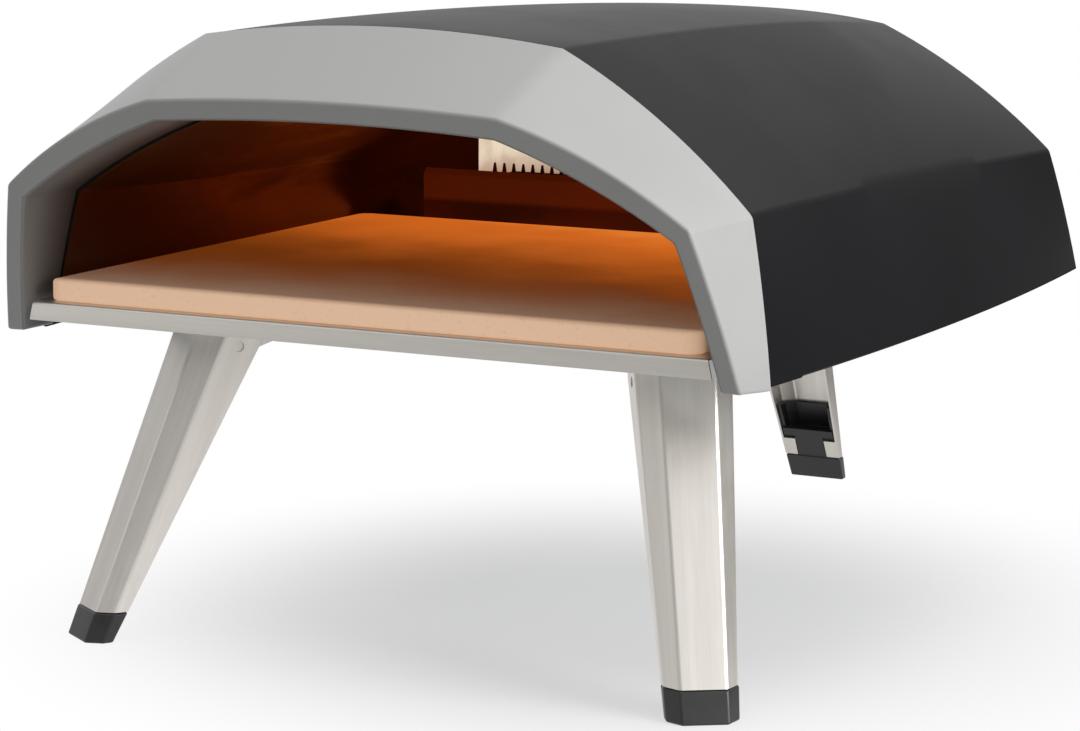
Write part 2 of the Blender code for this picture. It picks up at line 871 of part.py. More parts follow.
def make_base_pan():
    """Folded up all round, but for the front corners, where the liner passes over it."""
    run = pan_rear_y - pan_front_y
    ys = [pan_front_y + run * i / pan_stations for i in range(pan_stations + 1)]
    side = [(pan_half(y), y) for y in ys]
    corners = [(tongue_half, pan_rear_y), (tongue_half, tongue_rear_y)]
    outline = side + corners + [(-x, y) for x, y in reversed(side + corners)]
    front = [(-pan_front_half, pan_front_y), (pan_front_half, pan_front_y)]
    bm = bmesh.new()
    foot = [bm.verts.new((x, y, pan_underside)) for x, y in outline + front]
    head = [bm.verts.new((x, y, pan_underside + pan_flange)) for x, y in outline + front]
    bm.faces.new(foot[::-1])
    for i in range(len(foot) - 1):
        if i != len(outline) - 1:
            bm.faces.new((foot[i], foot[i + 1], head[i + 1], head[i]))
    posts = [e for e in bm.edges if abs(e.verts[0].co.z - e.verts[1].co.z) > pan_flange / 2
             and e.verts[0].co.y > pan_rear_y + merge_distance]
    bmesh.ops.bevel(bm, geom=posts, offset=pan_corner, segments=2, profile=0.5,
                    affect="EDGES", material=-1)
    pan = add("base_pan", mesh_of(bm, "base_pan"), galvanised)
    thicken(pan, pan_wall)
    frames = [frame_at(place) for side in leg_places for place in rivet_places(side)]
    radius = rivet_radius + touch_gap
    rivets = tool("pan_rivet_holes", cylinders("pan_rivet_holes", radius, 4 * overrun, frames))
    combine(pan, rivets, "DIFFERENCE")
    frames = [frame_at((x, y, pan_underside)) for x, y in hem_screw_places()]
    radius = screw_radius + touch_gap
    screws = tool("pan_screw_holes", cylinders("pan_screw_holes", radius, 2 * overrun, frames))
    combine(pan, screws, "DIFFERENCE")
    frames = [frame_at((knob_x, inlet_y, pan_underside))]
    radius = inlet_radius + slide_gap
    inlet = tool("pan_inlet_hole",
                 cylinders("pan_inlet_hole", radius, 2 * overrun, frames, round_sides))
    combine(pan, inlet, "DIFFERENCE")


# Fibre boards
def make_base_insulation():
    half = liner_half(liner_rear_y, board_top) - slide_gap
    low = (-half, pan_front_y + pan_wall + touch_gap, pan_seat)
    high = (half, liner_rear_y - pan_wall, board_top)
    add("base_insulation", box("base_insulation", low, high), fibre_board)


def liner_stations():
    run = liner_rear_y - liner_front_y
    return [liner_front_y + run * i / liner_rows for i in range(liner_rows + 1)]


def make_chamber_liner():
    bm = bmesh.new()
    loft(bm, [at_y(offset(liner_arch(y), liner_wall), y) for y in liner_stations()])
    liner = add("chamber_liner", mesh_of(bm, "chamber_liner"), heated_steel)
    thicken(liner, liner_wall)


def make_arch_insulation():
    bm = bmesh.new()
    out = liner_wall + touch_gap + blanket_thickness
    height = pan_underside + pan_flange + slide_gap + pan_wall
    rows = []
    for y in liner_stations():
        inner_y = max(y, shell_front_y + shell_wall + touch_gap)
        outline = offset(liner_arch(inner_y), out)
        rows.append(at_y(raised_ends(outline, height), inner_y))
    loft(bm, rows)
    blanket = add("arch_insulation", mesh_of(bm, "arch_insulation"), fibre_board)
    thicken(blanket, blanket_thickness)


def make_rear_liner():
    """The chamber's rear wall, with a window whose head follows the arch."""
    outline = offset(liner_arch(liner_rear_y), liner_wall)
    foot = tray_top + window_rise
    roof = (liner_roof_half_rear + window_roof_spread, liner_roof_height_rear - window_roof_margin)
    half = [(window_half, foot), (window_half, foot + window_side), roof]
    window = half + [(-x, z) for x, z in reversed(half)]
    mesh = plate("rear_liner", [raised_ends(outline, pan_seat), window], liner_wall)
    add("rear_liner", mesh, heated_steel, place=(0, rear_wall_y + liner_wall / 2, 0),
        turn=front_turn)


# Tray, stone and the strip behind the stone
def make_stone_tray():
    """A sheet that narrows with the chamber, its front edge turned down over a rolled corner."""
    rear = liner_rear_y - touch_gap
    lip_half = liner_half(liner_front_y, tray_top - tray_lip) - tray_side_gap
    front_half = liner_half(liner_front_y, tray_top) - tray_side_gap
    rear_half = liner_half(liner_rear_y, tray_top) - tray_side_gap
    stations = [(tray_front_y, tray_top - tray_lip, lip_half), (tray_front_y, tray_top, front_half),
                (liner_front_y, tray_top, front_half), (rear, tray_top, rear_half)]
    bm = bmesh.new()
    loft(bm, [[(side * half, y, z) for y, z, half in stations] for side in (1, -1)])
    lip_edge = [e for e in bm.edges if all(abs(v.co.y - tray_front_y) < merge_distance
                                           and abs(v.co.z - tray_top) < merge_distance
                                           for v in e.verts)]
    bmesh.ops.bevel(bm, geom=lip_edge, offset=tray_round, segments=3, profile=0.5,
                    affect="EDGES", material=-1)
    tray = add("stone_tray", mesh_of(bm, "stone_tray"), brushed_steel)
    thicken(tray, tray_wall)


def make_baking_stone():
    """A slab with eased edges, as wide as the rear of the chamber lets it slide in."""
    half = liner_half(stone_rear_y, stone_top) - stone_side_gap
    bm = bmesh.new()
    bm.from_mesh(box("baking_stone", (-half, stone_front_y, stone_foot),
                     (half, stone_rear_y, stone_top)))
    upright = [e for e in bm.edges
               if abs(e.verts[0].co.z - e.verts[1].co.z) > stone_thickness / 2]
    bmesh.ops.bevel(bm, geom=upright, offset=stone_corner, segments=4, profile=0.5,
                    affect="EDGES", material=-1)
    stone = add("baking_stone", mesh_of(bm, "baking_stone"), cordierite)
    round_edges(stone, stone_edge, 2, math.radians(50))


def make_flame_shield():
    foot = tray_top + touch_gap
    head = foot + shield_height
    profile = [(shield_y + shield_foot, foot), (shield_y, foot), (shield_y, head),
               (shield_y + shield_curl, head + shield_curl)]
    mesh = folded_sheet("flame_shield", profile[::-1], shield_half, liner_wall)
    add("flame_shield", mesh, heated_steel)


# Burner
def make_burner_trough():
    low = (-trough_half, trough_front_y, trough_foot)
    high = (trough_half, trough_rear_y, trough_head)
    bm = bmesh.new()
    bm.from_mesh(box("burner_trough", low, high))
    head = [f for f in bm.faces if f.normal.z > 0.5]
    bmesh.ops.delete(bm, geom=head, context="FACES_ONLY")
    keel = [e for e in bm.edges if all(abs(v.co.z - trough_foot) < merge_distance for v in e.verts)
            and abs(e.verts[0].co.y - e.verts[1].co.y) < merge_distance]
    bmesh.ops.bevel(bm, geom=keel, offset=trough_bevel, segments=2, profile=0.5,
                    affect="EDGES", material=-1)
    trough = add("burner_trough", mesh_of(bm, "burner_trough"), heated_steel)
    thicken(trough, trough_wall)
    frames = [frame_at((knob_x, trough_rear_y, gas_height), front_turn)]
    port = tool("trough_port", cylinders("trough_port", venturi_radius - venturi_wall,
                                         2 * overrun, frames, round_sides))
    combine(trough, port, "DIFFERENCE")


def make_burner_comb():
    """A strip with teeth along its upper edge, right in front of the trough."""
    count = int(2 * comb_half / tooth_pitch)
    start = -count * tooth_pitch / 2
    root = comb_foot + comb_height
    outline = [(comb_half, comb_foot), (-comb_half, comb_foot), (-comb_half, root)]
    for i in range(count):
        left = start + tooth_pitch * (i + (1 - tooth_share) / 2)
        right = left + tooth_pitch * tooth_share
        tip = tooth_pitch * tooth_share * tooth_tip_share
        outline += [(left, root), (left + tip, root + tooth_height),
                    (right - tip, root + tooth_height), (right, root)]
    outline.append((comb_half, root))
    mesh = plate("burner_comb", [outline], comb_wall)
    y = trough_front_y - touch_gap - comb_wall / 2
    add("burner_comb", mesh, heated_steel, place=(0, y, 0), turn=front_turn)


def make_burner_hood():
    """A sheet behind the burner that curls forward over it, with a cheek at each end."""
    knee = pan_seat + hood_rise
    curl = []
    for i in range(1, hood_steps + 1):
        angle = math.pi / 2 * i / hood_steps
        curl.append((hood_rear_y - hood_depth * (1 - math.cos(angle)),
                     knee + (hood_mouth_height - knee) * math.sin(angle)))
    profile = [(hood_rear_y, pan_seat), (hood_rear_y, knee)] + curl
    bm = bmesh.new()
    left, right = loft(bm, [[(x, y, z) for y, z in profile] for x in (-hood_half, hood_half)])
    for row, end in ((left, -1), (right, 1)):
        corner = bm.verts.new((end * hood_half, hood_front_y, pan_seat))
        cheek = row + [corner]
        bm.faces.new(cheek if end == 1 else cheek[::-1])
    hood = add("burner_hood", mesh_of(bm, "burner_hood"), heated_steel)
    thicken(hood, hood_wall)
    frames = [frame_at((knob_x, hood_rear_y, gas_height), front_turn)]
    radius = venturi_radius + slide_gap
    port = tool("hood_port", cylinders("hood_port", radius, 2 * overrun, frames, round_sides))
    combine(hood, port, "DIFFERENCE")
    frames = [frame_at((electrode_x, hood_rear_y, electrode_height), front_turn)]
    radius = insulator_radius + touch_gap
    port = tool("hood_spark_port", cylinders("hood_spark_port", radius, 2 * overrun, frames))
    combine(hood, port, "DIFFERENCE")


def make_burner_stands():
    front = trough_front_y + stand_inset
    rear = trough_rear_y - stand_inset
    head = trough_foot - touch_gap
    profile = [(front - stand_foot, pan_seat + stand_wall), (front, pan_seat + stand_wall),
               (front, head), (rear, head), (rear, pan_seat + stand_wall),
               (rear + stand_foot, pan_seat + stand_wall)]
    mesh = folded_sheet("burner_stand", profile[::-1], stand_length / 2, stand_wall)
    for name, side in (("burner_stand_left", -1), ("burner_stand_right", 1)):
        add(name, mesh, galvanised, place=(side * stand_place, 0, 0))


# Gas line
def make_venturi_tube():
    """Turned about Z and laid along Y, its bell towards the jet."""
    start = trough_rear_y + touch_gap
    length = jet_tip_y - jet_air_gap - start
    bell = length - bell_length
    inner = venturi_radius - venturi_wall
    profile = [(bell_radius - venturi_wall, length), (bell_radius, length),
               (bell_radius, bell + bell_length / 2), (venturi_radius, bell),
               (venturi_radius, 0), (inner, 0), (inner, bell),
               (bell_radius - venturi_wall, bell + bell_length / 2),
               (bell_radius - venturi_wall, length)]
    mesh = turned("venturi_tube", profile)
    add("venturi_tube", mesh, galvanised, place=(knob_x, start, gas_height), turn=back_turn)


def make_gas_jet():
    profile = [(jet_bore, jet_reach + jet_seat), (jet_radius, jet_reach + jet_seat),
               (jet_radius, jet_reach), (jet_radius, jet_reach - touch_gap),
               (jet_collar_radius, jet_reach - touch_gap),
               (jet_collar_radius, jet_reach - touch_gap - jet_collar),
               (jet_radius, jet_reach - touch_gap - jet_collar), (jet_nose_radius, 0), (jet_bore, 0),
               (jet_bore, jet_reach + jet_seat)]
    mesh = turned("gas_jet", profile, small_sides)
    add("gas_jet", mesh, brass, place=(knob_x, jet_tip_y, gas_height), turn=back_turn)


valve_screws = [(knob_x - valve_width / 2 + valve_screw_inset, valve_foot + valve_screw_inset),
                (knob_x + valve_width / 2 - valve_screw_inset, valve_head - valve_screw_inset)]


def make_gas_valve():
    half = valve_width / 2
    low = (knob_x - half, valve_front_y, valve_foot)
    high = (knob_x + half, valve_rear_y, valve_head)
    valve = add("gas_valve", box("gas_valve", low, high), cast_alloy)
    round_edges(valve, valve_edge, 1)
    depth = plug_length + plug_setback + slide_gap
    frames = [frame_at((knob_x, valve_rear_y, knob_height), front_turn)]
    bore = tool("valve_bore", cylinders("valve_bore", plug_radius + slide_gap, 2 * depth, frames,
                                        round_sides))
    combine(valve, bore, "DIFFERENCE")
    frames = [frame_at((knob_x, valve_front_y, gas_height), front_turn)]
    seat = tool("valve_jet_seat", cylinders("valve_jet_seat", jet_radius + touch_gap,
                                            2 * (jet_seat + touch_gap), frames, small_sides))
    combine(valve, seat, "DIFFERENCE")
    frames = [frame_at((knob_x, inlet_y, valve_foot))]
    seat = tool("valve_inlet_seat", cylinders("valve_inlet_seat", inlet_spigot_radius + touch_gap,
                                              2 * (inlet_seat + touch_gap), frames, round_sides))
    combine(valve, seat, "DIFFERENCE")
    frames = [frame_at((x, valve_rear_y, z), front_turn) for x, z in valve_screws]
    holes = tool("valve_screw_holes", cylinders("valve_screw_holes", screw_radius + touch_gap,
                                                2 * screw_length, frames))
    combine(valve, holes, "DIFFERENCE")


def make_valve_plug():
    """The plug turns in the body; its blind hole holds the spring and guides the stem."""
    hole = stem_radius + slide_gap
    depth = plug_length - plug_floor
    profile = [(hole, plug_length), (plug_radius, plug_length), (plug_radius - plug_taper, 0),
               (0, 0)]
    profile += [(0, plug_length - depth), (hole, plug_length - depth), (hole, plug_length)]
    mesh = turned("valve_plug", profile)
    add("valve_plug", mesh, brass, place=(knob_x, plug_front_y, knob_height), turn=back_turn)


def make_valve_stem():
    length = stem_length
    mesh = cylinders("valve_stem", stem_radius, length, [frame_at((0, 0, length / 2))], round_sides)
    stem = add("valve_stem", mesh, cast_alloy, place=(knob_x, stem_front_y, knob_height),
               turn=back_turn)
    low = (-stem_radius - overrun, -stem_radius - overrun, length - knob_seat_depth)
    high = (stem_radius + overrun, -stem_radius + stem_flat, length + overrun)
    flat = tool("stem_flat", box("stem_flat", low, high), parent=stem)
    combine(stem, flat, "DIFFERENCE")


def make_valve_spring():
    start = plug_front_y + plug_floor + touch_gap + spring_wire
    length = stem_front_y - touch_gap - spring_wire - start
    count = spring_turns * spring_points
    points = []
    for i in range(count + 1):
        angle = 2 * math.pi * i / spring_points
        points.append((knob_x + spring_radius * math.cos(angle),
                       start + length * i / count,
                       knob_height + spring_radius * math.sin(angle)))
    add("valve_spring", tube("valve_spring", points, spring_wire, 1), spring_steel)


def make_control_knob():
    """A round knob with a raised grip bar, hollowed for the stem."""
    base = knob_depth * knob_base_share
    profile = [(0, base), (knob_radius - knob_skirt, base), (knob_radius, base - knob_round),
               (knob_radius, 0), (0, 0)]
    y = cover_outer_y + knob_gap
    knob = add("control_knob", turned("control_knob", profile, 2 * round_sides), black_plastic,
               place=(knob_x, y, knob_height), turn=back_turn)
    half = knob_grip_width / 2
    reach = knob_radius - knob_skirt - knob_round
    grip = tool("knob_grip", box("knob_grip", (-half, -reach, base - knob_round),
                                 (half, reach, knob_depth)), parent=knob)
    round_edges(grip, knob_round)
    combine(knob, grip, "UNION")
    frames = [frame_at((0, 0, 0))]
    seat = tool("knob_seat", cylinders("knob_seat", stem_radius + slide_gap,
                                       2 * (knob_seat_depth + touch_gap), frames, round_sides),
                parent=knob)
    combine(knob, seat, "DIFFERENCE")


def make_gas_inlet():
    """Spigot in the valve, a nut under it, and a threaded end below the pan."""
    nut_top = valve_foot - touch_gap
    nut_foot = nut_top - inlet_nut_height
    foot = pan_underside - inlet_reach
    profile = [(0, nut_top + inlet_seat), (inlet_spigot_radius, nut_top + inlet_seat),
               (inlet_spigot_radius, nut_top), (inlet_nut_radius, nut_top),
               (inlet_nut_radius, nut_foot), (inlet_radius, nut_foot)]
    pitch = (pan_underside - overrun - foot) / inlet_threads
    for i in range(inlet_threads):
        crest = pan_underside - overrun - pitch * i
        profile += [(inlet_radius, crest), (inlet_radius - inlet_groove, crest - pitch / 2)]
    profile += [(inlet_radius, foot), (inlet_bore, foot), (inlet_bore, nut_top), (0, nut_top)]
    add("gas_inlet", turned("gas_inlet", profile), brass, place=(knob_x, inlet_y, 0))


def make_piezo_igniter():
    side = knob_x - valve_width / 2 - touch_gap
    low = (side - igniter_width, valve_rear_y - igniter_length, knob_height - igniter_height)
    high = (side, valve_rear_y, knob_height)
    piece = add("piezo_igniter", box("piezo_igniter", low, high), black_plastic)
    round_edges(piece, valve_edge / 2, 1)


def make_spark_electrode():
    """Wire through the insulator, bent down towards the teeth."""
    rear = hood_rear_y + insulator_rear + electrode_tail
    front = trough_front_y
    bend = front + electrode_drop
    points = [(electrode_x, rear, electrode_height), (electrode_x, bend, electrode_height),
              (electrode_x, front, electrode_height - electrode_drop)]
    add("spark_electrode", tube("spark_electrode", points, electrode_radius), spring_steel)
    bore = electrode_radius + touch_gap
    front = -insulator_front
    rear = insulator_rear
    collar = touch_gap + insulator_collar
    profile = [(bore, rear), (insulator_radius, rear), (insulator_radius, collar),
               (insulator_collar_radius, collar), (insulator_collar_radius, touch_gap),
               (insulator_radius, touch_gap), (insulator_radius, front), (bore, front),
               (bore, rear)]
    add("electrode_insulator", turned("electrode_insulator", profile, small_sides), ceramic,
        place=(electrode_x, hood_rear_y, electrode_height), turn=back_turn)


def make_ignition_lead():
    """Lead from the igniter to the tail of the electrode, held at both ends."""
    start = Vector((knob_x - valve_width / 2 - touch_gap - igniter_width / 2,
                    valve_rear_y - igniter_length - touch_gap, knob_height - igniter_height / 2))
    end = Vector((electrode_x, hood_rear_y + insulator_rear + electrode_tail + touch_gap,
                  electrode_height))
    pull = (start.y - end.y) / 2
    handles = [start, start - Vector((0, pull, -lead_lift)), end + Vector((0, pull, lead_lift)), end]
    points = []
    for i in range(lead_steps + 1):
        t = i / lead_steps
        weights = ((1 - t) ** 3, 3 * t * (1 - t) ** 2, 3 * t * t * (1 - t), t ** 3)
        points.append(sum((h * w for h, w in zip(handles, weights)), Vector()))
    add("ignition_lead", tube("ignition_lead", points, lead_radius, 1), red_silicone)


# Rear panel and burner cover
def make_rear_panel():
    outline = offset(shell_arch(panel_rear_y), -shell_wall - slide_gap)
    outline = raised_ends(outline, pan_seat)
    outline += raised_ends(cover_arch(-cover_wall), pan_seat)[::-1]
    radius = screw_radius + touch_gap
    holes = [circle(x, z, radius) for x, z in rear_screws]
    holes += [circle(x, z, radius) for x, z in cover_screws]
    mesh = plate("rear_panel", [outline] + holes, shell_wall)
    y = (panel_front_y + panel_rear_y) / 2
    add("rear_panel", mesh, black_powder, place=(0, y, 0), turn=front_turn)


def cover_arch(grow, fall=0):
    """Open outline of the burner cover in (x, z), grown by a distance and lowered by a fall."""
    half = tongue_half + touch_gap + cover_wall
    outline = arch((half, pan_underside), (half, cover_shoulder - fall),
                   (cover_roof_half, cover_head - fall), (0, cover_crown, cover_crown))
    return offset(outline, grow)


cover_flange_middle = tongue_half + touch_gap + cover_wall + cover_flange / 2
cover_screws = [(side * cover_flange_middle, z) for side in (-1, 1)
                for z in (pan_seat + cover_screw_foot, cover_shoulder - cover_screw_head)]


def make_burner_cover():
    bm = bmesh.new()
    flange_y = cover_front_y + cover_wall
    rows = [at_y(cover_arch(cover_flange), flange_y), at_y(cover_arch(0), flange_y),
            at_y(cover_arch(0, cover_fall), cover_outer_y)]
    grid = loft(bm, rows)
    bm.faces.new(grid[-1])
    cover = add("burner_cover", mesh_of(bm, "burner_cover"), black_powder)
    round_edges(cover, cover_round, 2, math.radians(40))
    thicken(cover, cover_wall)
    slots = []
    for side in (-1, 1):
        for i in range(slot_count):
            slots.append(side * (slot_start + slot_pitch * i))
    slots = [x for x in slots if abs(x - knob_x) > knob_radius + slot_pitch]
    bm = bmesh.new()
    for x in slots:
        place = frame_at((x, cover_outer_y, knob_height))
        size = Matrix.Diagonal((slot_width, 2 * overrun, slot_height, 1))
        bmesh.ops.create_cube(bm, size=1, matrix=place @ size)
    combine(cover, tool("cover_slots", mesh_of(bm, "cover_slots")), "DIFFERENCE")
    frames = [frame_at((knob_x, cover_outer_y, knob_height), front_turn)]
    hole = tool("cover_stem_hole", cylinders("cover_stem_hole", stem_radius + 2 * slide_gap,
                                             2 * overrun, frames, round_sides))
    combine(cover, hole, "DIFFERENCE")
    frames = [frame_at((x, cover_outer_y, z), front_turn) for x, z in valve_screws]
    frames += [frame_at((x, cover_front_y, z), front_turn) for x, z in cover_screws]
    radius = screw_radius + touch_gap
    holes = tool("cover_screw_holes", cylinders("cover_screw_holes", radius, 2 * overrun, frames))
    combine(cover, holes, "DIFFERENCE")


# Legs, in the frame of their pin: local -Y looks out over the foot and Z runs up the leg
def leg_share(along):
    """Share of the reference length for a place along the leg, measured from the pin."""
    return (along + leg_reach) / leg_reference_length


def leg_outline(along, depth):
    """Open outer section of the channel in (x, y) at a place along the leg."""
    share = leg_share(along)
    face = bowed(leg_face_foot, leg_face_top, 0, share) / 2
    chamfer = bowed(leg_chamfer_foot, leg_chamfer_top, 0, share)
    side = face + chamfer * math.cos(leg_chamfer_angle)
    knee = -leg_pin_inset + chamfer * math.sin(leg_chamfer_angle)
    half = [(-side, depth), (-side, knee), (-face, -leg_pin_inset)]
    return half + [(-x, y) for x, y in reversed(half)]


def level_point(outward, height):
    """Point (y, z) of the leg frame at a depth towards the face and a world height."""
    along = (height - outward * math.sin(leg_splay)) / math.cos(leg_splay)
    return (-outward, along)


def edge_point(height):
    """Point of the free edge of the channel at a world height over the pin."""
    sine, cosine = math.sin(leg_splay), math.cos(leg_splay)
    along = (height + leg_edge_at_pin * sine) / (cosine - leg_edge_slope * sine)
    return (leg_edge_at_pin + leg_edge_slope * along, along)


def make_leg_mesh():
    low = -leg_reach - overrun
    high = leg_head_radius + overrun
    depth = leg_edge_at_pin + leg_spare_depth
    bm = bmesh.new()
    loft(bm, [[(x, y, z) for x, y in leg_outline(z, depth)] for z in (low, high)])
    leg = bpy.data.objects.new("leg", mesh_of(bm, "leg"))
    bpy.context.scene.collection.objects.link(leg)
    round_edges(leg, leg_fold_radius)
    thicken(leg, leg_wall)

    outer = leg_pin_inset + overrun
    start = math.acos(leg_edge_at_pin / leg_head_radius)
    side = [level_point(outer, leg_foot_height), edge_point(leg_foot_height)]
    side += arc(0, 0, leg_head_radius, start, math.pi / 2 + leg_splay, leg_head_steps)
    side += [level_point(outer, leg_head_radius)]
    width = 2 * (leg_face_top + leg_chamfer_top)
    guide = tool("leg_side", plate("leg_side", [side], width), parent=None, turn=side_turn)
    combine(leg, guide, "INTERSECT")

    tilt = math.atan(leg_edge_slope)
    tab_foot = edge_point(leg_foot_height)
    tab_side = leg_outline(tab_foot[1], 0)[-1][0] - leg_wall / 2
    tabs = []
    for sign in (-1, 1):
        near, far = sorted((sign * tab_side, sign * (tab_side - tab_width)))
        mesh = box("leg_tab", (near, -leg_wall, 0), (far, 0, tab_height))
        tabs.append(tool("leg_tab", mesh, parent=None, place=(0, *tab_foot), turn=(-tilt, 0, 0)))
        combine(leg, tabs[-1], "UNION")

    hole = tool("leg_pin_hole", cylinders("leg_pin_hole", pin_radius + touch_gap, width,
                                          [frame_at((0, 0, 0), (0, math.pi / 2, 0))]), parent=None)
    combine(leg, hole, "DIFFERENCE")
    mesh = frozen(leg)
    for helper in [guide, hole] + tabs:
        bpy.data.objects.remove(helper, do_unlink=True)
    return mesh


# Feet, in the frame of the pin but upright
def level_section(height, inset, spare=0):
    """Open level section of the channel at a world height, moved in by an inset."""
    level = height - pin_height
    edge_y = edge_point(level)[0]
    cosine = math.cos(leg_splay)
    outward = (leg_pin_inset - level * math.sin(leg_splay)) / cosine
    along = level_point(leg_pin_inset, level)[1]
    outline = leg_outline(along, 0)
    knee = (outline[1][1] + leg_pin_inset) / cosine
    edge = (edge_y + leg_pin_inset) / cosine
    side, face = outline[-1][0], outline[-3][0]
    half = [(-side, edge - outward + spare), (-side, knee - outward), (-face, -outward)]
    section = half + [(-x, y) for x, y in reversed(half)]
    return offset(section, inset)


def at_height(section, height):
    return [(x, y, height - pin_height) for x, y in section]


def make_foot_mesh():
    """Shoe, plug, neck and locking bar, joined."""
    heights = (0, shoe_height)
    sections = [at_height(level_section(h, -shoe_proud, shoe_proud), h) for h in heights]
    shoe = bpy.data.objects.new("foot", closed_loft("foot", sections))
    bpy.context.scene.collection.objects.link(shoe)
    round_edges(shoe, shoe_round, 2, math.radians(35))

    inset = leg_wall + slide_gap
    behind_tabs = -leg_wall - slide_gap
    heights = (shoe_height - shoe_round * 2, bar_head)
    sections = [at_height(level_section(h, inset, behind_tabs / math.cos(leg_splay)), h)
                for h in heights]
    helpers = [tool("foot_core", closed_loft("foot_core", sections), parent=None)]

    heights = (bar_head - shoe_round, lining_head)
    sections = []
    for h in heights:
        outer = level_section(h, inset, behind_tabs)
        inner = level_section(h, inset + lining_wall, behind_tabs)
        sections.append(at_height(outer + inner[::-1], h))
    helpers.append(tool("foot_lining", closed_loft("foot_lining", sections), parent=None))

    neck_half = leg_outline(edge_point(leg_foot_height)[1], 0)[-1][0] - leg_wall / 2
    neck_half -= tab_width + touch_gap
    for name, half, low, high in (
            ("foot_neck", neck_half, shoe_height - shoe_round * 2, bar_head - shoe_round),
            ("foot_bar", None, bar_foot, bar_head)):
        sections = []
        for h in (low, high):
            outline = level_section(h, inset)
            reach = outline[0][1]
            width = half if half else outline[-1][0]
            back = reach - lining_wall - leg_wall
            corners = [(-width, back), (width, back), (width, reach), (-width, reach)]
            sections.append(at_height(corners, h))
        helpers.append(tool(name, closed_loft(name, sections), parent=None))
    for helper in helpers:
        combine(shoe, helper, "UNION")
    mesh = frozen(shoe)
    for helper in helpers:
        bpy.data.objects.remove(helper, do_unlink=True)
    return mesh


# Brackets and pins
def make_bracket_mesh():
    """A channel whose two ears hold the pin and slope up to the pan behind it."""
    head = pin_drop - touch_gap
    profile = [(-bracket_half, -ear_drop), (-bracket_half, head), (bracket_half, head),
               (bracket_half, -ear_drop)]
    bm = bmesh.new()
    loft(bm, [[(x, y, z) for x, z in profile] for y in (-bracket_front, bracket_back)])
    bracket = bpy.data.objects.new("bracket", mesh_of(bm, "bracket"))
    bpy.context.scene.collection.objects.link(bracket)
    round_edges(bracket, bracket_round)
    thicken(bracket, bracket_wall)
    root = head - bracket_wall - bracket_round
    side = [(-bracket_front - overrun, head + overrun), (bracket_back + overrun, head + overrun),
            (bracket_back + overrun, root), (bracket_back, root)]
    slope = math.atan2(root, bracket_back) - math.acos(ear_drop / math.hypot(root, bracket_back))
    side += arc(0, 0, ear_drop, slope, -math.pi, ear_steps)
    side += [(-bracket_front - overrun, 0)]
    guide = tool("bracket_side", plate("bracket_side", [side], 4 * bracket_half), parent=None,
                 turn=side_turn)
    combine(bracket, guide, "INTERSECT")
    hole = tool("bracket_pin_hole", cylinders("bracket_pin_hole", pin_radius + touch_gap,
                                              4 * bracket_half,
                                              [frame_at((0, 0, 0), (0, math.pi / 2, 0))]),
                parent=None)
    combine(bracket, hole, "DIFFERENCE")
    frames = [frame_at((x, rivet_back, head)) for x in (-rivet_half_spacing, rivet_half_spacing)]
    rivets = tool("bracket_rivet_holes", cylinders("bracket_rivet_holes", rivet_radius + touch_gap,
                                                   2 * overrun, frames), parent=None)
    combine(bracket, rivets, "DIFFERENCE")
    mesh = frozen(bracket)
    for helper in (guide, hole, rivets):
        bpy.data.objects.remove(helper, do_unlink=True)
    return mesh


def make_pin_mesh():
    """A plain pin held by the bracket, its chamfered ends just inside the sides of the leg."""
    half = leg_outline(0, 0)[-1][0] - touch_gap
    profile = [(0, half), (pin_radius - pin_chamfer, half), (pin_radius, half - pin_chamfer),
               (pin_radius, pin_chamfer - half), (pin_radius - pin_chamfer, -half), (0, -half)]
    return turned("leg_pin", profile, small_sides)


def make_legs():
    leg_mesh = make_leg_mesh()
    foot_mesh = make_foot_mesh()
    bracket_mesh = make_bracket_mesh()
    pin_mesh = make_pin_mesh()
    for side in leg_places:
        frame = pin_frame(side)
        pivot = bpy.data.objects.new("leg_%s_pivot" % side, None)
        pivot.parent = oven
        pivot.location = frame.translation
        pivot.rotation_euler = frame.to_euler()
        parts.objects.link(pivot)
        add("leg_" + side, leg_mesh, brushed_steel, pivot, turn=(-leg_splay, 0, 0))
        add("foot_" + side, foot_mesh, black_plastic, pivot)
        add("leg_bracket_" + side, bracket_mesh, galvanised, pivot)
        add("leg_pin_" + side, pin_mesh, brushed_steel, pivot, turn=(0, math.pi / 2, 0))


# Fasteners
def screw_mesh(length):
    """A domed head above Z = 0 and its shank below."""
    edge = screw_head / 2
    profile = [(0, screw_head), (screw_head_radius - edge, screw_head), (screw_head_radius, edge),
               (screw_head_radius, 0), (screw_radius, 0), (screw_radius, -length), (0, -length)]
    return turned("screw", profile, fastener_sides)


def add_fasteners(name, mesh, frames):
    """One object for each fastener, all on one mesh."""
    for number, frame in enumerate(frames, 1):
        add("%s_%d" % (name, number), mesh, brushed_steel, place=frame.translation,
            turn=frame.to_euler())


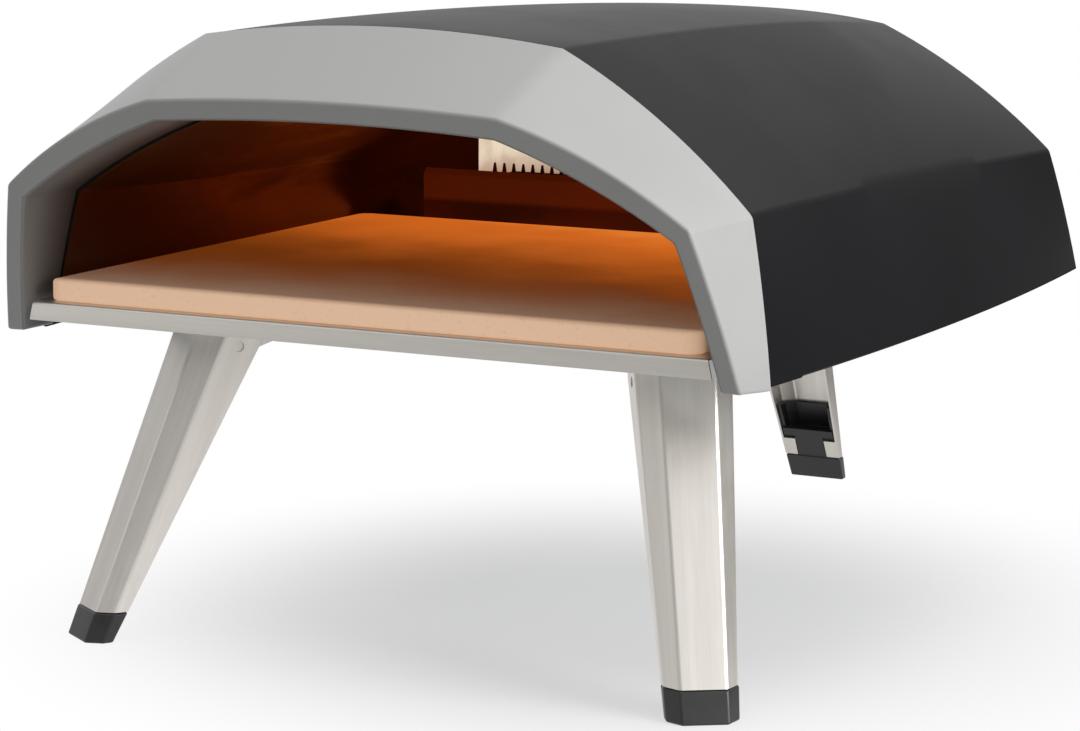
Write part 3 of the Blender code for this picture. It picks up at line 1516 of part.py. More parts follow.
def make_fasteners():
    screw = screw_mesh(screw_length)
    y = shell_rear_y + touch_gap
    add_fasteners("rear_screw", screw, [frame_at((x, y, z), back_turn) for x, z in rear_screws])
    y = cover_front_y + cover_wall + touch_gap
    add_fasteners("cover_screw", screw, [frame_at((x, y, z), back_turn) for x, z in cover_screws])
    y = cover_outer_y + touch_gap
    add_fasteners("valve_screw", screw_mesh(screw_length - 2 * touch_gap),
                  [frame_at((x, y, z), back_turn) for x, z in valve_screws])
    under = (math.pi, 0, 0)
    z = skirt_height - touch_gap
    add_fasteners("pan_screw", screw, [frame_at((x, y, z), under) for x, y in hem_screw_places()])
    edge = rivet_head / 2
    shank = bracket_wall + touch_gap + pan_wall
    profile = [(0, rivet_head), (rivet_head_radius - edge, rivet_head), (rivet_head_radius, 0),
               (rivet_radius, 0), (rivet_radius, -shank), (0, -shank)]
    rivet = turned("rivet", profile, fastener_sides)
    sink = Vector((0, 0, touch_gap))
    for side in leg_places:
        frames = [frame_at(place - sink, under) for place in rivet_places(side)]
        add_fasteners("bracket_rivet_" + side, rivet, frames)


make_outer_shell()
make_front_fascia()
make_base_pan()
make_base_insulation()
make_chamber_liner()
make_arch_insulation()
make_rear_liner()
make_stone_tray()
make_baking_stone()
make_flame_shield()
make_burner_trough()
make_burner_comb()
make_burner_hood()
make_burner_stands()
make_venturi_tube()
make_gas_jet()
make_gas_valve()
make_valve_plug()
make_valve_stem()
make_valve_spring()
make_control_knob()
make_gas_inlet()
make_piezo_igniter()
make_spark_electrode()
make_ignition_lead()
make_rear_panel()
make_burner_cover()
make_legs()
make_fasteners()
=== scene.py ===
import math

import bmesh
import bpy
from mathutils import Matrix, Vector


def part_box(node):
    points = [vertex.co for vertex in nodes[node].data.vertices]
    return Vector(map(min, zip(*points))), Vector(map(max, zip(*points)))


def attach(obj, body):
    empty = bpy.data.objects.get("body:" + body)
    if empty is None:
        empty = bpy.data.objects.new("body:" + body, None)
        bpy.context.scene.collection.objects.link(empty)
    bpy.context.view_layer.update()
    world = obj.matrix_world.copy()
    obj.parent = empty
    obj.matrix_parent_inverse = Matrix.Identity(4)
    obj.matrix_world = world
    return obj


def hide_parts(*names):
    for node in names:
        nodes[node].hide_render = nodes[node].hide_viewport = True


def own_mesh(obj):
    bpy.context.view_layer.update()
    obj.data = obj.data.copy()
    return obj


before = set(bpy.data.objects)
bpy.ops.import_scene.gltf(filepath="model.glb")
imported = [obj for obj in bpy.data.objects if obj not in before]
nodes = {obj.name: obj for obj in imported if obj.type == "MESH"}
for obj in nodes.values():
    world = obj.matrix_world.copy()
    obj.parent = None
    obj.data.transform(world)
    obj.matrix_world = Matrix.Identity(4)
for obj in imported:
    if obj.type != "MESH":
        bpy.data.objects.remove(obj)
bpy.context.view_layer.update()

# Camera
# A long lens at the photograph's angle, a little above the mouth and to its right.
camera_place = (0.7691, -1.6079, 0.4130)
camera_yaw = 0.46735
camera_pitch = 0.16677
camera_roll = 0.00557
camera_lens = 113.02

camera_data = bpy.data.cameras.new("camera")
camera_data.lens = camera_lens
camera_data.sensor_width = 36
camera = bpy.data.objects.new("camera", camera_data)
bpy.context.scene.collection.objects.link(camera)
camera.location = camera_place
camera.rotation_euler = (Matrix.Rotation(camera_yaw, 3, "Z")
                         @ Matrix.Rotation(math.pi / 2 - camera_pitch, 3, "X")
                         @ Matrix.Rotation(camera_roll, 3, "Z")).to_euler()
bpy.context.scene.camera = camera

# Studio
# A pale floor that fades to plain white a little way from the oven, one large soft lamp at the
# right and a weaker one overhead, under a sky that is palest towards the lamp. What metal
# mirrors is a floor and a sky with a few brighter and darker parts.
floor_size = 12
floor_colour = (0.80, 0.80, 0.80)
floor_bounce = (0.34, 0.34, 0.34)
shade_place = (0.06, -0.07, 0)
fade_start, fade_end = 0.08, 0.36
near_white = 0.30
shine_spots = (((0.78, 1.12, 0), 0.62, 1.32, 0.05), ((-0.10, -1.20, 0), 0.2, 0.8, 0.30))
sky_strength = 0.58
sky_dark, sky_light = 0.40, 1.10
sky_bright_way = (0.65, 0.52, 0.55)
sky_soft_turn = (-0.7, 0.9)
sky_shine = 0.50
sky_bright_spots = (((0.20, -0.75, 0.60), -0.5, 0.6, 0.35), ((0, 0, 1), 0.05, 0.35, 0.30),
                    ((-0.45, 0.80, 0.40), 0.65, 0.95, 0.50))
sky_dim_spots = (((0.42, 0.90, 0.05), 0.91, 0.98, 0.12), ((-0.15, -0.92, 0.36), 0.78, 0.97, 0.50))
lamp_aim = (0, 0, 0.2)
right_place, right_size, right_power = (2.4, -0.2, 0.9), 1.3, 48
overhead_place, overhead_size, overhead_power = (0.2, -0.2, 2.4), 1.8, 12


def new_material(name):
    """A node material, its tree and its Principled shader."""
    material = bpy.data.materials.new(name)
    material.use_nodes = True
    return material, material.node_tree, material.node_tree.nodes["Principled BSDF"]


def fill_sockets(tree, sockets, values):
    """Sets sockets to plain values, and links those that are given another node's output."""
    for socket, value in zip(sockets, values):
        if isinstance(value, bpy.types.NodeSocket):
            tree.links.new(value, socket)
        elif value is not None:
            socket.default_value = value


def add_node(tree, kind, **values):
    """A shader node with some of its inputs filled by name."""
    made = tree.nodes.new(kind)
    fill_sockets(tree, [made.inputs[name.replace("_", " ")] for name in values], values.values())
    return made


def maths(tree, operation, *values):
    made = tree.nodes.new("ShaderNodeMath")
    made.operation = operation
    fill_sockets(tree, made.inputs, values)
    return made.outputs["Value"]


def vector_maths(tree, operation, *values):
    """The outputs of a sum on two vectors: its Vector, or the Value of a distance or product."""
    made = tree.nodes.new("ShaderNodeVectorMath")
    made.operation = operation
    fill_sockets(tree, made.inputs, values)
    return made.outputs


def ranged(tree, value, low, high, first=0, last=1):
    """A value moved from one range to another with soft, held ends."""
    made = add_node(tree, "ShaderNodeMapRange", Value=value, From_Min=low, From_Max=high,
                    To_Min=first, To_Max=last)
    made.interpolation_type = "SMOOTHSTEP"
    return made.outputs["Result"]


def mixed(tree, share, first, second):
    """A colour between two others; each is a plain colour or another node's output."""
    made = tree.nodes.new("ShaderNodeMix")
    made.data_type = "RGBA"
    colours = [(*value, 1) if isinstance(value, tuple) else value for value in (first, second)]
    fill_sockets(tree, (made.inputs[0], made.inputs[6], made.inputs[7]), (share, *colours))
    return made.outputs[2]


def floor_level(tree, middle, near, far, low):
    """A level that rises from a low one to 1 with the distance from a place on the floor."""
    place = tree.nodes.new("ShaderNodeTexCoord").outputs["Object"]
    away = vector_maths(tree, "DISTANCE", place, middle)["Value"]
    return ranged(tree, away, near, far, low, 1)


def floor_finish():
    """White some way off, real shadows near the oven, and in metal a white with darker parts."""
    material, tree, shader = new_material("pale_floor")
    shader.inputs["Roughness"].default_value = 0.7
    shader.inputs["Specular IOR Level"].default_value = 0.1
    ray = tree.nodes.new("ShaderNodeLightPath").outputs
    tree.links.new(mixed(tree, ray["Is Camera Ray"], floor_bounce, floor_colour),
                   shader.inputs["Base Color"])
    fade = floor_level(tree, shade_place, fade_start, fade_end, near_white)
    shine = 1
    for spot in shine_spots:
        shine = maths(tree, "MULTIPLY", shine, floor_level(tree, *spot))
    level = maths(tree, "MAXIMUM", ray["Is Camera Ray"], shine)
    white = add_node(tree, "ShaderNodeEmission", Strength=level)
    share = maths(tree, "MAXIMUM", maths(tree, "MULTIPLY", fade, ray["Is Camera Ray"]),
                  ray["Is Glossy Ray"])
    mix = tree.nodes.new("ShaderNodeMixShader")
    fill_sockets(tree, mix.inputs, (share, shader.outputs["BSDF"], white.outputs["Emission"]))
    tree.links.new(mix.outputs["Shader"], tree.nodes["Material Output"].inputs["Surface"])
    return material


bm = bmesh.new()
bmesh.ops.create_grid(bm, x_segments=1, y_segments=1, size=floor_size / 2)
floor_mesh = bpy.data.meshes.new("studio_floor")
bm.to_mesh(floor_mesh)
bm.free()
floor_mesh.materials.append(floor_finish())
studio_floor = bpy.data.objects.new("studio_floor", floor_mesh)
bpy.context.scene.collection.objects.link(studio_floor)

world = bpy.data.worlds.new("studio")
world.use_nodes = True
sky_tree = world.node_tree
sky = sky_tree.nodes["Background"]
sky_ray = sky_tree.nodes.new("ShaderNodeLightPath").outputs


def sky_toward(way, low, high, first, last):
    """A level that rises as the ray turns towards a direction."""
    ray_way = sky_tree.nodes.new("ShaderNodeTexCoord").outputs["Generated"]
    turned = vector_maths(sky_tree, "DOT_PRODUCT", ray_way, way)["Value"]
    return ranged(sky_tree, turned, low, high, first, last)


sky_soft = maths(sky_tree, "MULTIPLY", sky_strength,
                 sky_toward(sky_bright_way, *sky_soft_turn, sky_dark, sky_light))
sky_mirrored = sky_shine
for way, start, full, gain in sky_bright_spots:
    sky_mirrored = maths(sky_tree, "ADD", sky_mirrored, sky_toward(way, start, full, 0, gain))
for way, start, full, level in sky_dim_spots:
    sky_mirrored = maths(sky_tree, "MULTIPLY", sky_mirrored, sky_toward(way, start, full, 1, level))
sky_glossy = add_node(sky_tree, "ShaderNodeMix", Factor=sky_ray["Is Glossy Ray"], A=sky_soft,
                      B=sky_mirrored)
sky_level = add_node(sky_tree, "ShaderNodeMix", Factor=sky_ray["Is Camera Ray"],
                     A=sky_glossy.outputs["Result"], B=1)
sky.inputs["Color"].default_value = (1, 1, 1, 1)
sky_tree.links.new(sky_level.outputs["Result"], sky.inputs["Strength"])
bpy.context.scene.world = world


def soft_lamp(name, place, size, power):
    """A square lamp that looks at the middle of the oven."""
    lamp = bpy.data.lights.new(name, "AREA")
    lamp.size = size
    lamp.energy = power
    holder = bpy.data.objects.new(name, lamp)
    bpy.context.scene.collection.objects.link(holder)
    holder.location = place
    aim = Vector(lamp_aim) - Vector(place)
    holder.rotation_euler = aim.to_track_quat("-Z", "Y").to_euler()


soft_lamp("right_lamp", right_place, right_size, right_power)
soft_lamp("overhead_lamp", overhead_place, overhead_size, overhead_power)

bpy.context.scene.view_settings.view_transform = "Standard"

# Floor pan
# A pan of zinc plated sheet, folded up along its edges, with a tongue at the back. Everything
# else is screwed or riveted to it, and from outside only its underside shows.
merge_distance = 0.00001
flat_angle = math.radians(1)
smooth_angle = math.radians(38)
cut_edge = 0.00015
zinc_dark, zinc_light, zinc_dull = (0.58, 0.60, 0.61), (0.74, 0.76, 0.77), (0.50, 0.50, 0.49)
zinc_roughness = (0.36, 0.56)
zinc_metal = 0.9
crystal_scale = 130
fine_relief = 0.00001


def merged_copy(node):
    """A CAD node's triangles with their doubles merged and its flat faces made whole."""
    bm = bmesh.new()
    bm.from_mesh(nodes[node].data)
    bmesh.ops.remove_doubles(bm, verts=bm.verts, dist=merge_distance)
    bmesh.ops.dissolve_limit(bm, angle_limit=flat_angle, verts=bm.verts, edges=bm.edges)
    return bm


def ease_edges(bm, width, segments=2, angle=smooth_angle):
    """Rounds the sharp edges of a closed body."""
    sharp = [edge for edge in bm.edges if edge.is_manifold and edge.calc_face_angle() > angle]
    bmesh.ops.bevel(bm, geom=sharp, offset=width, segments=segments, profile=0.5,
                    affect="EDGES", material=-1, clamp_overlap=True)
    return bm


def show(name, source, material, body, replaced=(), angle=smooth_angle):
    """Puts a finished mesh in the scene in place of the plain solids that it stands for."""
    mesh = source
    if isinstance(source, bmesh.types.BMesh):
        mesh = bpy.data.meshes.new(name)
        source.to_mesh(mesh)
        source.free()
    mesh.materials.clear()
    mesh.materials.append(material)
    mesh.shade_smooth()
    mesh.set_sharp_from_angle(angle=angle)
    piece = bpy.data.objects.new(name, mesh)
    bpy.context.scene.collection.objects.link(piece)
    even = piece.modifiers.new("even_normals", "WEIGHTED_NORMAL")
    even.keep_sharp = True
    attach(piece, body)
    if replaced:
        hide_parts(*replaced)
    return piece


def eased_node(node, name, width, material, body):
    """A CAD node with rounded edges and smooth folds."""
    return show(name, ease_edges(merged_copy(node), width), material, body, (node,))


def start_group(name, inputs, outputs):
    """An empty node group with its sockets; returns it with its input and output nodes."""
    tree = bpy.data.node_groups.new(name, "ShaderNodeTree")
    for socket, kind in inputs:
        tree.interface.new_socket(socket, in_out="INPUT", socket_type="NodeSocket" + kind)
    for socket, kind in outputs:
        tree.interface.new_socket(socket, in_out="OUTPUT", socket_type="NodeSocket" + kind)
    return tree, tree.nodes.new("NodeGroupInput"), tree.nodes.new("NodeGroupOutput")


def use_group(tree, group, **values):
    made = tree.nodes.new("ShaderNodeGroup")
    made.node_tree = group
    fill_sockets(tree, [made.inputs[name.replace("_", " ")] for name in values], values.values())
    return made.outputs


def placed(tree):
    """A point's place on the oven, whole and split into its X, Y and Z."""
    place = tree.nodes.new("ShaderNodeTexCoord").outputs["Object"]
    return place, add_node(tree, "ShaderNodeSeparateXYZ", Vector=place).outputs


def surface_grain_group():
    """Fine grain for a bump and broad soft patches for colour and gloss."""
    tree, entry, leave = start_group("surface_grain",
                                     (("Grain Scale", "Float"), ("Patch Scale", "Float")),
                                     (("Grain", "Float"), ("Patches", "Float")))
    place = tree.nodes.new("ShaderNodeTexCoord").outputs["Object"]
    grain = add_node(tree, "ShaderNodeTexNoise", Vector=place, Scale=entry.outputs["Grain Scale"],
                     Detail=3, Roughness=0.6)
    patch = add_node(tree, "ShaderNodeTexNoise", Vector=place, Scale=entry.outputs["Patch Scale"],
                     Detail=5, Roughness=0.55)
    patches = ranged(tree, patch.outputs["Fac"], 0.32, 0.68)
    fill_sockets(tree, leave.inputs, (grain.outputs["Fac"], patches))
    return tree


surface_grain = surface_grain_group()


def add_relief(tree, shader, height, depth):
    """A bump of a real depth in metres from a height between 0 and 1."""
    bump = add_node(tree, "ShaderNodeBump", Height=height, Distance=depth)
    tree.links.new(bump.outputs["Normal"], shader.inputs["Normal"])


def galvanised_finish():
    """Zinc in large frosted crystals, a little dull between them."""
    material, tree, shader = new_material("zinc_plate")
    shader.inputs["Metallic"].default_value = zinc_metal
    place = tree.nodes.new("ShaderNodeTexCoord").outputs["Object"]
    grain = use_group(tree, surface_grain, Grain_Scale=900, Patch_Scale=30)
    crystal = add_node(tree, "ShaderNodeTexVoronoi", Vector=place, Scale=crystal_scale)
    tone = add_node(tree, "ShaderNodeSeparateColor", Color=crystal.outputs["Color"])
    colour = mixed(tree, tone.outputs["Red"], zinc_dark, zinc_light)
    dull = mixed(tree, maths(tree, "MULTIPLY", grain["Patches"], 0.4), colour, zinc_dull)
    tree.links.new(dull, shader.inputs["Base Color"])
    rough = ranged(tree, tone.outputs["Green"], 0, 1, *zinc_roughness)
    tree.links.new(rough, shader.inputs["Roughness"])
    add_relief(tree, shader, grain["Grain"], fine_relief)
    return material


zinc_plate = galvanised_finish()
eased_node("base_pan", "floor_pan", cut_edge, zinc_plate, "oven_body")

# Leg brackets
# A folded channel of zinc plated steel over each leg, with two ears for the pin, held to the
# pan by two rivets with round heads.
rivet_profile = ((0, 0.00120), (0.0012, 0.00112), (0.0022, 0.00085), (0.0030, 0.00040),
                 (0.0033, 0), (0.0016, 0), (0.0016, -0.0029), (0, -0.0029))
round_steps = 48
bracket_ease = 0.0002
line_stretch = (1, 1, 0.012)
line_fineness = 2600
line_share, line_gloss = 0.45, 0.6
fastener_dark, fastener_light = (0.50, 0.50, 0.50), (0.68, 0.68, 0.67)


def spun(profile, steps=round_steps):
    """A turned body about Z from its half outline of (radius, height) points."""
    bm = bmesh.new()
    points = [bm.verts.new((radius, 0, height)) for radius, height in profile]
    edges = [bm.edges.new(pair) for pair in zip(points, points[1:])]
    bmesh.ops.spin(bm, geom=points + edges, axis=(0, 0, 1), cent=(0, 0, 0), angle=2 * math.pi,
                   steps=steps, use_merge=True)
    bmesh.ops.remove_doubles(bm, verts=bm.verts, dist=merge_distance)
    bmesh.ops.recalc_face_normals(bm, faces=bm.faces)
    return bm


def laid(bm, place, outward):
    """Turns a body so that its Z looks outward, and moves its foot to a place."""
    turn = Vector((0, 0, 1)).rotation_difference(Vector(outward)).to_matrix().to_4x4()
    bmesh.ops.transform(bm, matrix=Matrix.Translation(place) @ turn, verts=bm.verts)
    return bm


def head_seat(node, outward, head):
    """The middle of the seat under a fastener's head, from its node's box."""
    low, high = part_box(node)
    place = (low + high) / 2
    for axis in range(3):
        if outward[axis]:
            outer = high[axis] if outward[axis] > 0 else low[axis]
            place[axis] = outer - outward[axis] * head
    return place


def brushed_lines_group():
    """Fine lines along the Z of the place that it is given, and broader bands of the same run."""
    tree, entry, leave = start_group("brushed_lines", (("Place", "Vector"), ("Fineness", "Float")),
                                     (("Lines", "Float"), ("Bands", "Float")))
    stretched = vector_maths(tree, "MULTIPLY", entry.outputs["Place"], line_stretch)["Vector"]
    lines = add_node(tree, "ShaderNodeTexNoise", Vector=stretched,
                     Scale=entry.outputs["Fineness"], Detail=4, Roughness=0.75)
    broad = maths(tree, "MULTIPLY", entry.outputs["Fineness"], 0.05)
    bands = add_node(tree, "ShaderNodeTexNoise", Vector=stretched, Scale=broad, Detail=3,
                     Roughness=0.6)
    fill_sockets(tree, leave.inputs, (ranged(tree, lines.outputs["Fac"], 0.25, 0.75),
                                      ranged(tree, bands.outputs["Fac"], 0.30, 0.70)))
    return tree


brushed_lines = brushed_lines_group()


def brushed_finish(name, dark, light, roughness, relief, metallic=1):
    """Brushed metal; the lines run along the Z of the piece's own brush_place attribute."""
    material, tree, shader = new_material(name)
    shader.inputs["Metallic"].default_value = metallic
    place = tree.nodes.new("ShaderNodeAttribute")
    place.attribute_name = "brush_place"
    brush = use_group(tree, brushed_lines, Place=place.outputs["Vector"], Fineness=line_fineness)
    smudge = use_group(tree, surface_grain, Grain_Scale=500, Patch_Scale=22)["Patches"]
    tone = maths(tree, "ADD", maths(tree, "MULTIPLY", brush["Lines"], line_share),
                 maths(tree, "MULTIPLY", brush["Bands"], 1 - line_share))
    tree.links.new(mixed(tree, tone, dark, light), shader.inputs["Base Color"])
    gloss = maths(tree, "ADD", maths(tree, "MULTIPLY", brush["Lines"], line_gloss),
                  maths(tree, "MULTIPLY", smudge, 1 - line_gloss))
    tree.links.new(ranged(tree, gloss, 0, 1, *roughness), shader.inputs["Roughness"])
    add_relief(tree, shader, brush["Lines"], relief)
    return material


def set_brush(piece, matrix):
    """Writes each vertex's place in the brushing's own axes, which the finish reads."""
    mesh = piece.data
    place = mesh.attributes.new("brush_place", "FLOAT_VECTOR", "POINT")
    for entry, vert in zip(place.data, mesh.vertices):
        entry.vector = matrix @ vert.co
    return piece


along_x = Matrix(((0, 1, 0), (0, 0, 1), (1, 0, 0)))
bright_fastener = brushed_finish("bright_fastener", fastener_dark, fastener_light, (0.22, 0.38),
                                 0.000004)

for side in ("left", "right", "rear"):
    eased_node("leg_bracket_" + side, "bracket_" + side, bracket_ease, zinc_plate, "oven_body")
    for number in (1, 2):
        node = "bracket_rivet_%s_%d" % (side, number)
        rivet = laid(spun(rivet_profile), head_seat(node, (0, 0, -1), rivet_profile[0][1]),
                     (0, 0, -1))
        set_brush(show("rivet_%s_%d" % (side, number), rivet, bright_fastener, "oven_body",
                       (node,)), along_x)

# Legs
# Three channels folded from one brushed stainless sheet each, narrower at the foot, with a tab
# turned in at each edge. The brushing runs along the leg.
leg_ease = 0.00025
leg_splay = math.radians(21.8)
leg_turns = {"left": math.radians(-34), "right": math.radians(34), "rear": math.pi}
stainless_dark, stainless_light = (0.58, 0.55, 0.51), (0.70, 0.665, 0.62)
stainless_metal = 0.85

warm_stainless = brushed_finish("warm_stainless", stainless_dark, stainless_light, (0.30, 0.42),
                                0.000003, stainless_metal)
for side, turn in leg_turns.items():
    upright = Matrix.Rotation(turn, 3, "Z") @ Matrix.Rotation(-leg_splay, 3, "X")
    piece = eased_node("leg_" + side, "folded_leg_" + side, leg_ease, warm_stainless,
                       side + "_leg")
    set_brush(piece, upright.inverted())

# Pins
# A plain steel pin through each bracket and leg, its ends spread flush with the sides of the leg
# and brushed with them.
pin_radius = 0.0025
pin_spread = 0.00035
pin_chamfer = 0.0002
spread_end, spread_start = 0.0010, 0.0016

for side, turn in leg_turns.items():
    pin_low, pin_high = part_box("leg_pin_" + side)
    pin_axis = Matrix.Rotation(turn, 3, "Z") @ Vector((1, 0, 0))
    reach = (pin_high.x - pin_low.x) / 2 - pin_radius * abs(pin_axis.y)
    half = reach / abs(pin_axis.x)
    wide = pin_radius + pin_spread
    pin_profile = ((0, half), (wide - pin_chamfer, half), (wide, half - pin_chamfer),
                   (wide, half - spread_end), (pin_radius, half - spread_start),
                   (pin_radius, spread_start - half), (wide, spread_end - half),
                   (wide, pin_chamfer - half), (wide - pin_chamfer, -half), (0, -half))
    pin = laid(spun(pin_profile), (pin_low + pin_high) / 2, pin_axis)
    piece = show("hinge_pin_" + side, pin, warm_stainless, "oven_body",
                 ("leg_pin_" + side,))
    set_brush(piece, along_x)

# Feet
# A black nylon shoe under each leg, with a plug up inside the channel, a neck behind it and a
# bar across. Moulded, a little glossy, with a fine grain.
foot_ease = 0.0005
nylon_colours = ((0.011, 0.011, 0.012), (0.018, 0.018, 0.019))


def moulded_finish(name, colours, roughness, grain_scale, patch_scale, relief):
    """A moulded or coated finish: near colours in soft patches over an even grain."""
    material, tree, shader = new_material(name)
    grain = use_group(tree, surface_grain, Grain_Scale=grain_scale, Patch_Scale=patch_scale)
    tree.links.new(mixed(tree, grain["Patches"], *colours), shader.inputs["Base Color"])
    tree.links.new(ranged(tree, grain["Patches"], 0, 1, *roughness), shader.inputs["Roughness"])
    add_relief(tree, shader, grain["Grain"], relief)
    return material


black_nylon = moulded_finish("black_nylon", nylon_colours, (0.36, 0.46), 1400, 60, fine_relief)
for side in leg_turns:
    eased_node("foot_" + side, "shoe_" + side, foot_ease, black_nylon, side + "_leg")

# Fibre boards
# Pressed ceramic fibre under the stone and round the chamber, off white, soft and a little
# uneven, with painted shade blackening it at the mouth. They only show in gaps and where the burner
# bay is open.
board_ease, blanket_ease = 0.0008, 0.0005
fibre_colours = ((0.66, 0.61, 0.53), (0.84, 0.81, 0.74))
# painted shade: the colour that darkens the fibre seen in the gap behind the mouth
fibre_painted_shade = (0.030, 0.022, 0.017)
painted_shade_reach = 0.020


def fibre_finish():
    """Off-white fibre with a coarse grain, with painted shade blackening it a short way behind the
    mouth.
    """
    material = moulded_finish("pressed_fibre", fibre_colours, (0.9, 1.0), 700, 45, 0.0003)
    tree = material.node_tree
    colour = tree.nodes["Principled BSDF"].inputs["Base Color"]
    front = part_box("arch_insulation")[0].y
    # painted shade over a short way behind the mouth
    painted_shade = ranged(tree, placed(tree)[1]["Y"], front + painted_shade_reach / 2, front + painted_shade_reach, 1, 0)
    tree.links.new(mixed(tree, painted_shade, colour.links[0].from_socket, fibre_painted_shade), colour)
    return material


fibre = fibre_finish()
eased_node("base_insulation", "floor_board", board_ease, fibre, "oven_body")
eased_node("arch_insulation", "arch_blanket", blanket_ease, fibre, "oven_body")

# Chamber
# A thin stainless arch bent in five flats, open at the mouth, with a rear wall that has a wide
# window for the flame. Use has browned it, and painted flame light warms its colour and glows
# faintly on it, more and more towards the burner.
chamber_front = ((0.1822, 0.1568), (0.1674, 0.2214), (0.0868, 0.2628))
chamber_rear = ((0.1810, 0.1568), (0.1630, 0.2110), (0.0800, 0.2500))
straight = ((0, 0), (0, 0), (0, 0))
chamber_crowns = (0.0010, 0.0032, 0.0033)
chamber_wall = 0.0008
chamber_rows = 24
arch_steps = (6, 18, 30)
fold_segments = 5
fold_angle = math.radians(18)
rim_angle = math.radians(60)
stain_and_flame_start, stain_and_flame_end = -0.26, 0.10
# painted flame light: these heat colours also carry the flame's warm light
stain_and_flame_colours = ((0.0, (0.085, 0.032, 0.012)), (1.0, (0.050, 0.018, 0.010)),
                 (0.35, (0.150, 0.042, 0.009)), (0.70, (0.080, 0.018, 0.004)))
cloud_stretch, cloud_scale, cloud_share = (1, 0.35, 1.6), 14, 0.7
browned_metal = 0.85
browned_roughness = (0.30, 0.62)
# painted flame light: a faint glow on the browned steel towards the burner, less where sooty
flame_glow_start, flame_glow_end, flame_glow_in_soot = -0.04, 0.08, 0.25
flame_glow_colour = (0.012, 0.0012, 0.0001)


def bowed(front, rear, bow, share):
    """A size that runs from front to rear and swells by a bow between them."""
    return front + (rear - front) * share + bow * 4 * share * (1 - share)


def creases(front, rear, bows, share):
    """The foot, shoulder and roof corner of an arch at a share of the way to its rear."""
    return [tuple(bowed(*sizes, share) for sizes in zip(*corner))
            for corner in zip(front, rear, bows)]


def crowned(start, end, crown, steps):
    """Points from start up to end on a shallow arc that swells to the left of its chord."""
    run = Vector(end) - Vector(start)
    out = Vector((-run.y, run.x)).normalized()
    shares = [i / steps for i in range(steps)]
    return [Vector(start) + run * s + out * crown * 4 * s * (1 - s) for s in shares]


def arch(corners, crowns, steps=arch_steps):
    """An arch in (x, z) from its left foot over the roof to its right foot."""
    foot, shoulder, roof = corners
    stations = [(-foot[0], foot[1]), (-shoulder[0], shoulder[1]), (-roof[0], roof[1]), roof,
                shoulder, foot]
    outline = []
    for start, end, number in zip(stations, stations[1:], (0, 1, 2, 1, 0)):
        outline += crowned(start, end, crowns[number], steps[number])
    return outline + [Vector(foot)]


def moved_out(outline, distance):
    """The open outline moved to its left by a distance, with mitred corners."""
    normals = [Vector((a.y - b.y, b.x - a.x)).normalized() for a, b in zip(outline, outline[1:])]
    moved = [outline[0] + normals[0] * distance]
    for point, before, after in zip(outline[1:], normals, normals[1:]):
        moved.append(point + (before + after) * distance / (1 + before.dot(after)))
    return moved + [outline[-1] + normals[-1] * distance]


def at_y(outline, y):
    return [(x, y, z) for x, z in outline]


def bent_sheet(rows):
    """A grid bent so that each of its rows lies on one row of points."""
    bm = bmesh.new()
    across = len(rows[0])
    bmesh.ops.create_grid(bm, x_segments=across - 1, y_segments=len(rows) - 1, size=1)
    for number, vert in enumerate(bm.verts):
        vert.co = rows[number // across][number % across]
    bmesh.ops.remove_doubles(bm, verts=bm.verts, dist=merge_distance)
    return bm


def walled(name, bm, wall, fold=0):
    """The mesh of a bent sheet with rounded folds, its wall on the inner side and eased rims."""
    mesh = bpy.data.meshes.new(name)
    bm.to_mesh(mesh)
    bm.free()
    holder = bpy.data.objects.new(name, mesh)
    bpy.context.scene.collection.objects.link(holder)
    if fold:
        folds = holder.modifiers.new("folds", "BEVEL")
        folds.width = fold
        folds.segments = fold_segments
        folds.limit_method = "ANGLE"
        folds.angle_limit = fold_angle
    solid = holder.modifiers.new("wall", "SOLIDIFY")
    solid.thickness = wall
    solid.offset = -1
    solid.use_even_offset = True
    edge = holder.modifiers.new("rim", "BEVEL")
    edge.width = cut_edge
    edge.segments = 2
    edge.limit_method = "ANGLE"
    edge.angle_limit = rim_angle
    bpy.context.view_layer.update()
    graph = bpy.context.evaluated_depsgraph_get()
    made = bpy.data.meshes.new_from_object(holder.evaluated_get(graph))
    bpy.data.objects.remove(holder, do_unlink=True)
    return made


def stain_and_flame_group():
    """Colours of heated steel warmed by painted flame light, by a heat between 0 and 1, broken up by
    soot and streaks.
    """
    tree, entry, leave = start_group("stain_and_flame_light", (("Heat", "Float"),),
                                     (("Colour", "Color"), ("Soot", "Float")))
    place = tree.nodes.new("ShaderNodeTexCoord").outputs["Object"]
    stretched = vector_maths(tree, "MULTIPLY", place, cloud_stretch)["Vector"]
    cloud = add_node(tree, "ShaderNodeTexNoise", Vector=stretched, Scale=cloud_scale, Detail=6,
                     Roughness=0.62)
    shift = maths(tree, "SUBTRACT", cloud.outputs["Fac"], 0.5)
    heat = maths(tree, "ADD", entry.outputs["Heat"], maths(tree, "MULTIPLY", shift, cloud_share))
    colours = add_node(tree, "ShaderNodeValToRGB", Fac=heat)
    stops = colours.color_ramp.elements
    ends = len(stops)
    for number, (position, colour) in enumerate(stain_and_flame_colours):
        stop = stops[number] if number < ends else stops.new(position)
        stop.color = (*colour, 1)
    soot = ranged(tree, cloud.outputs["Fac"], 0.40, 0.66)
    fill_sockets(tree, leave.inputs, (colours.outputs["Color"], soot))
    return tree


stain_and_flame_light = stain_and_flame_group()


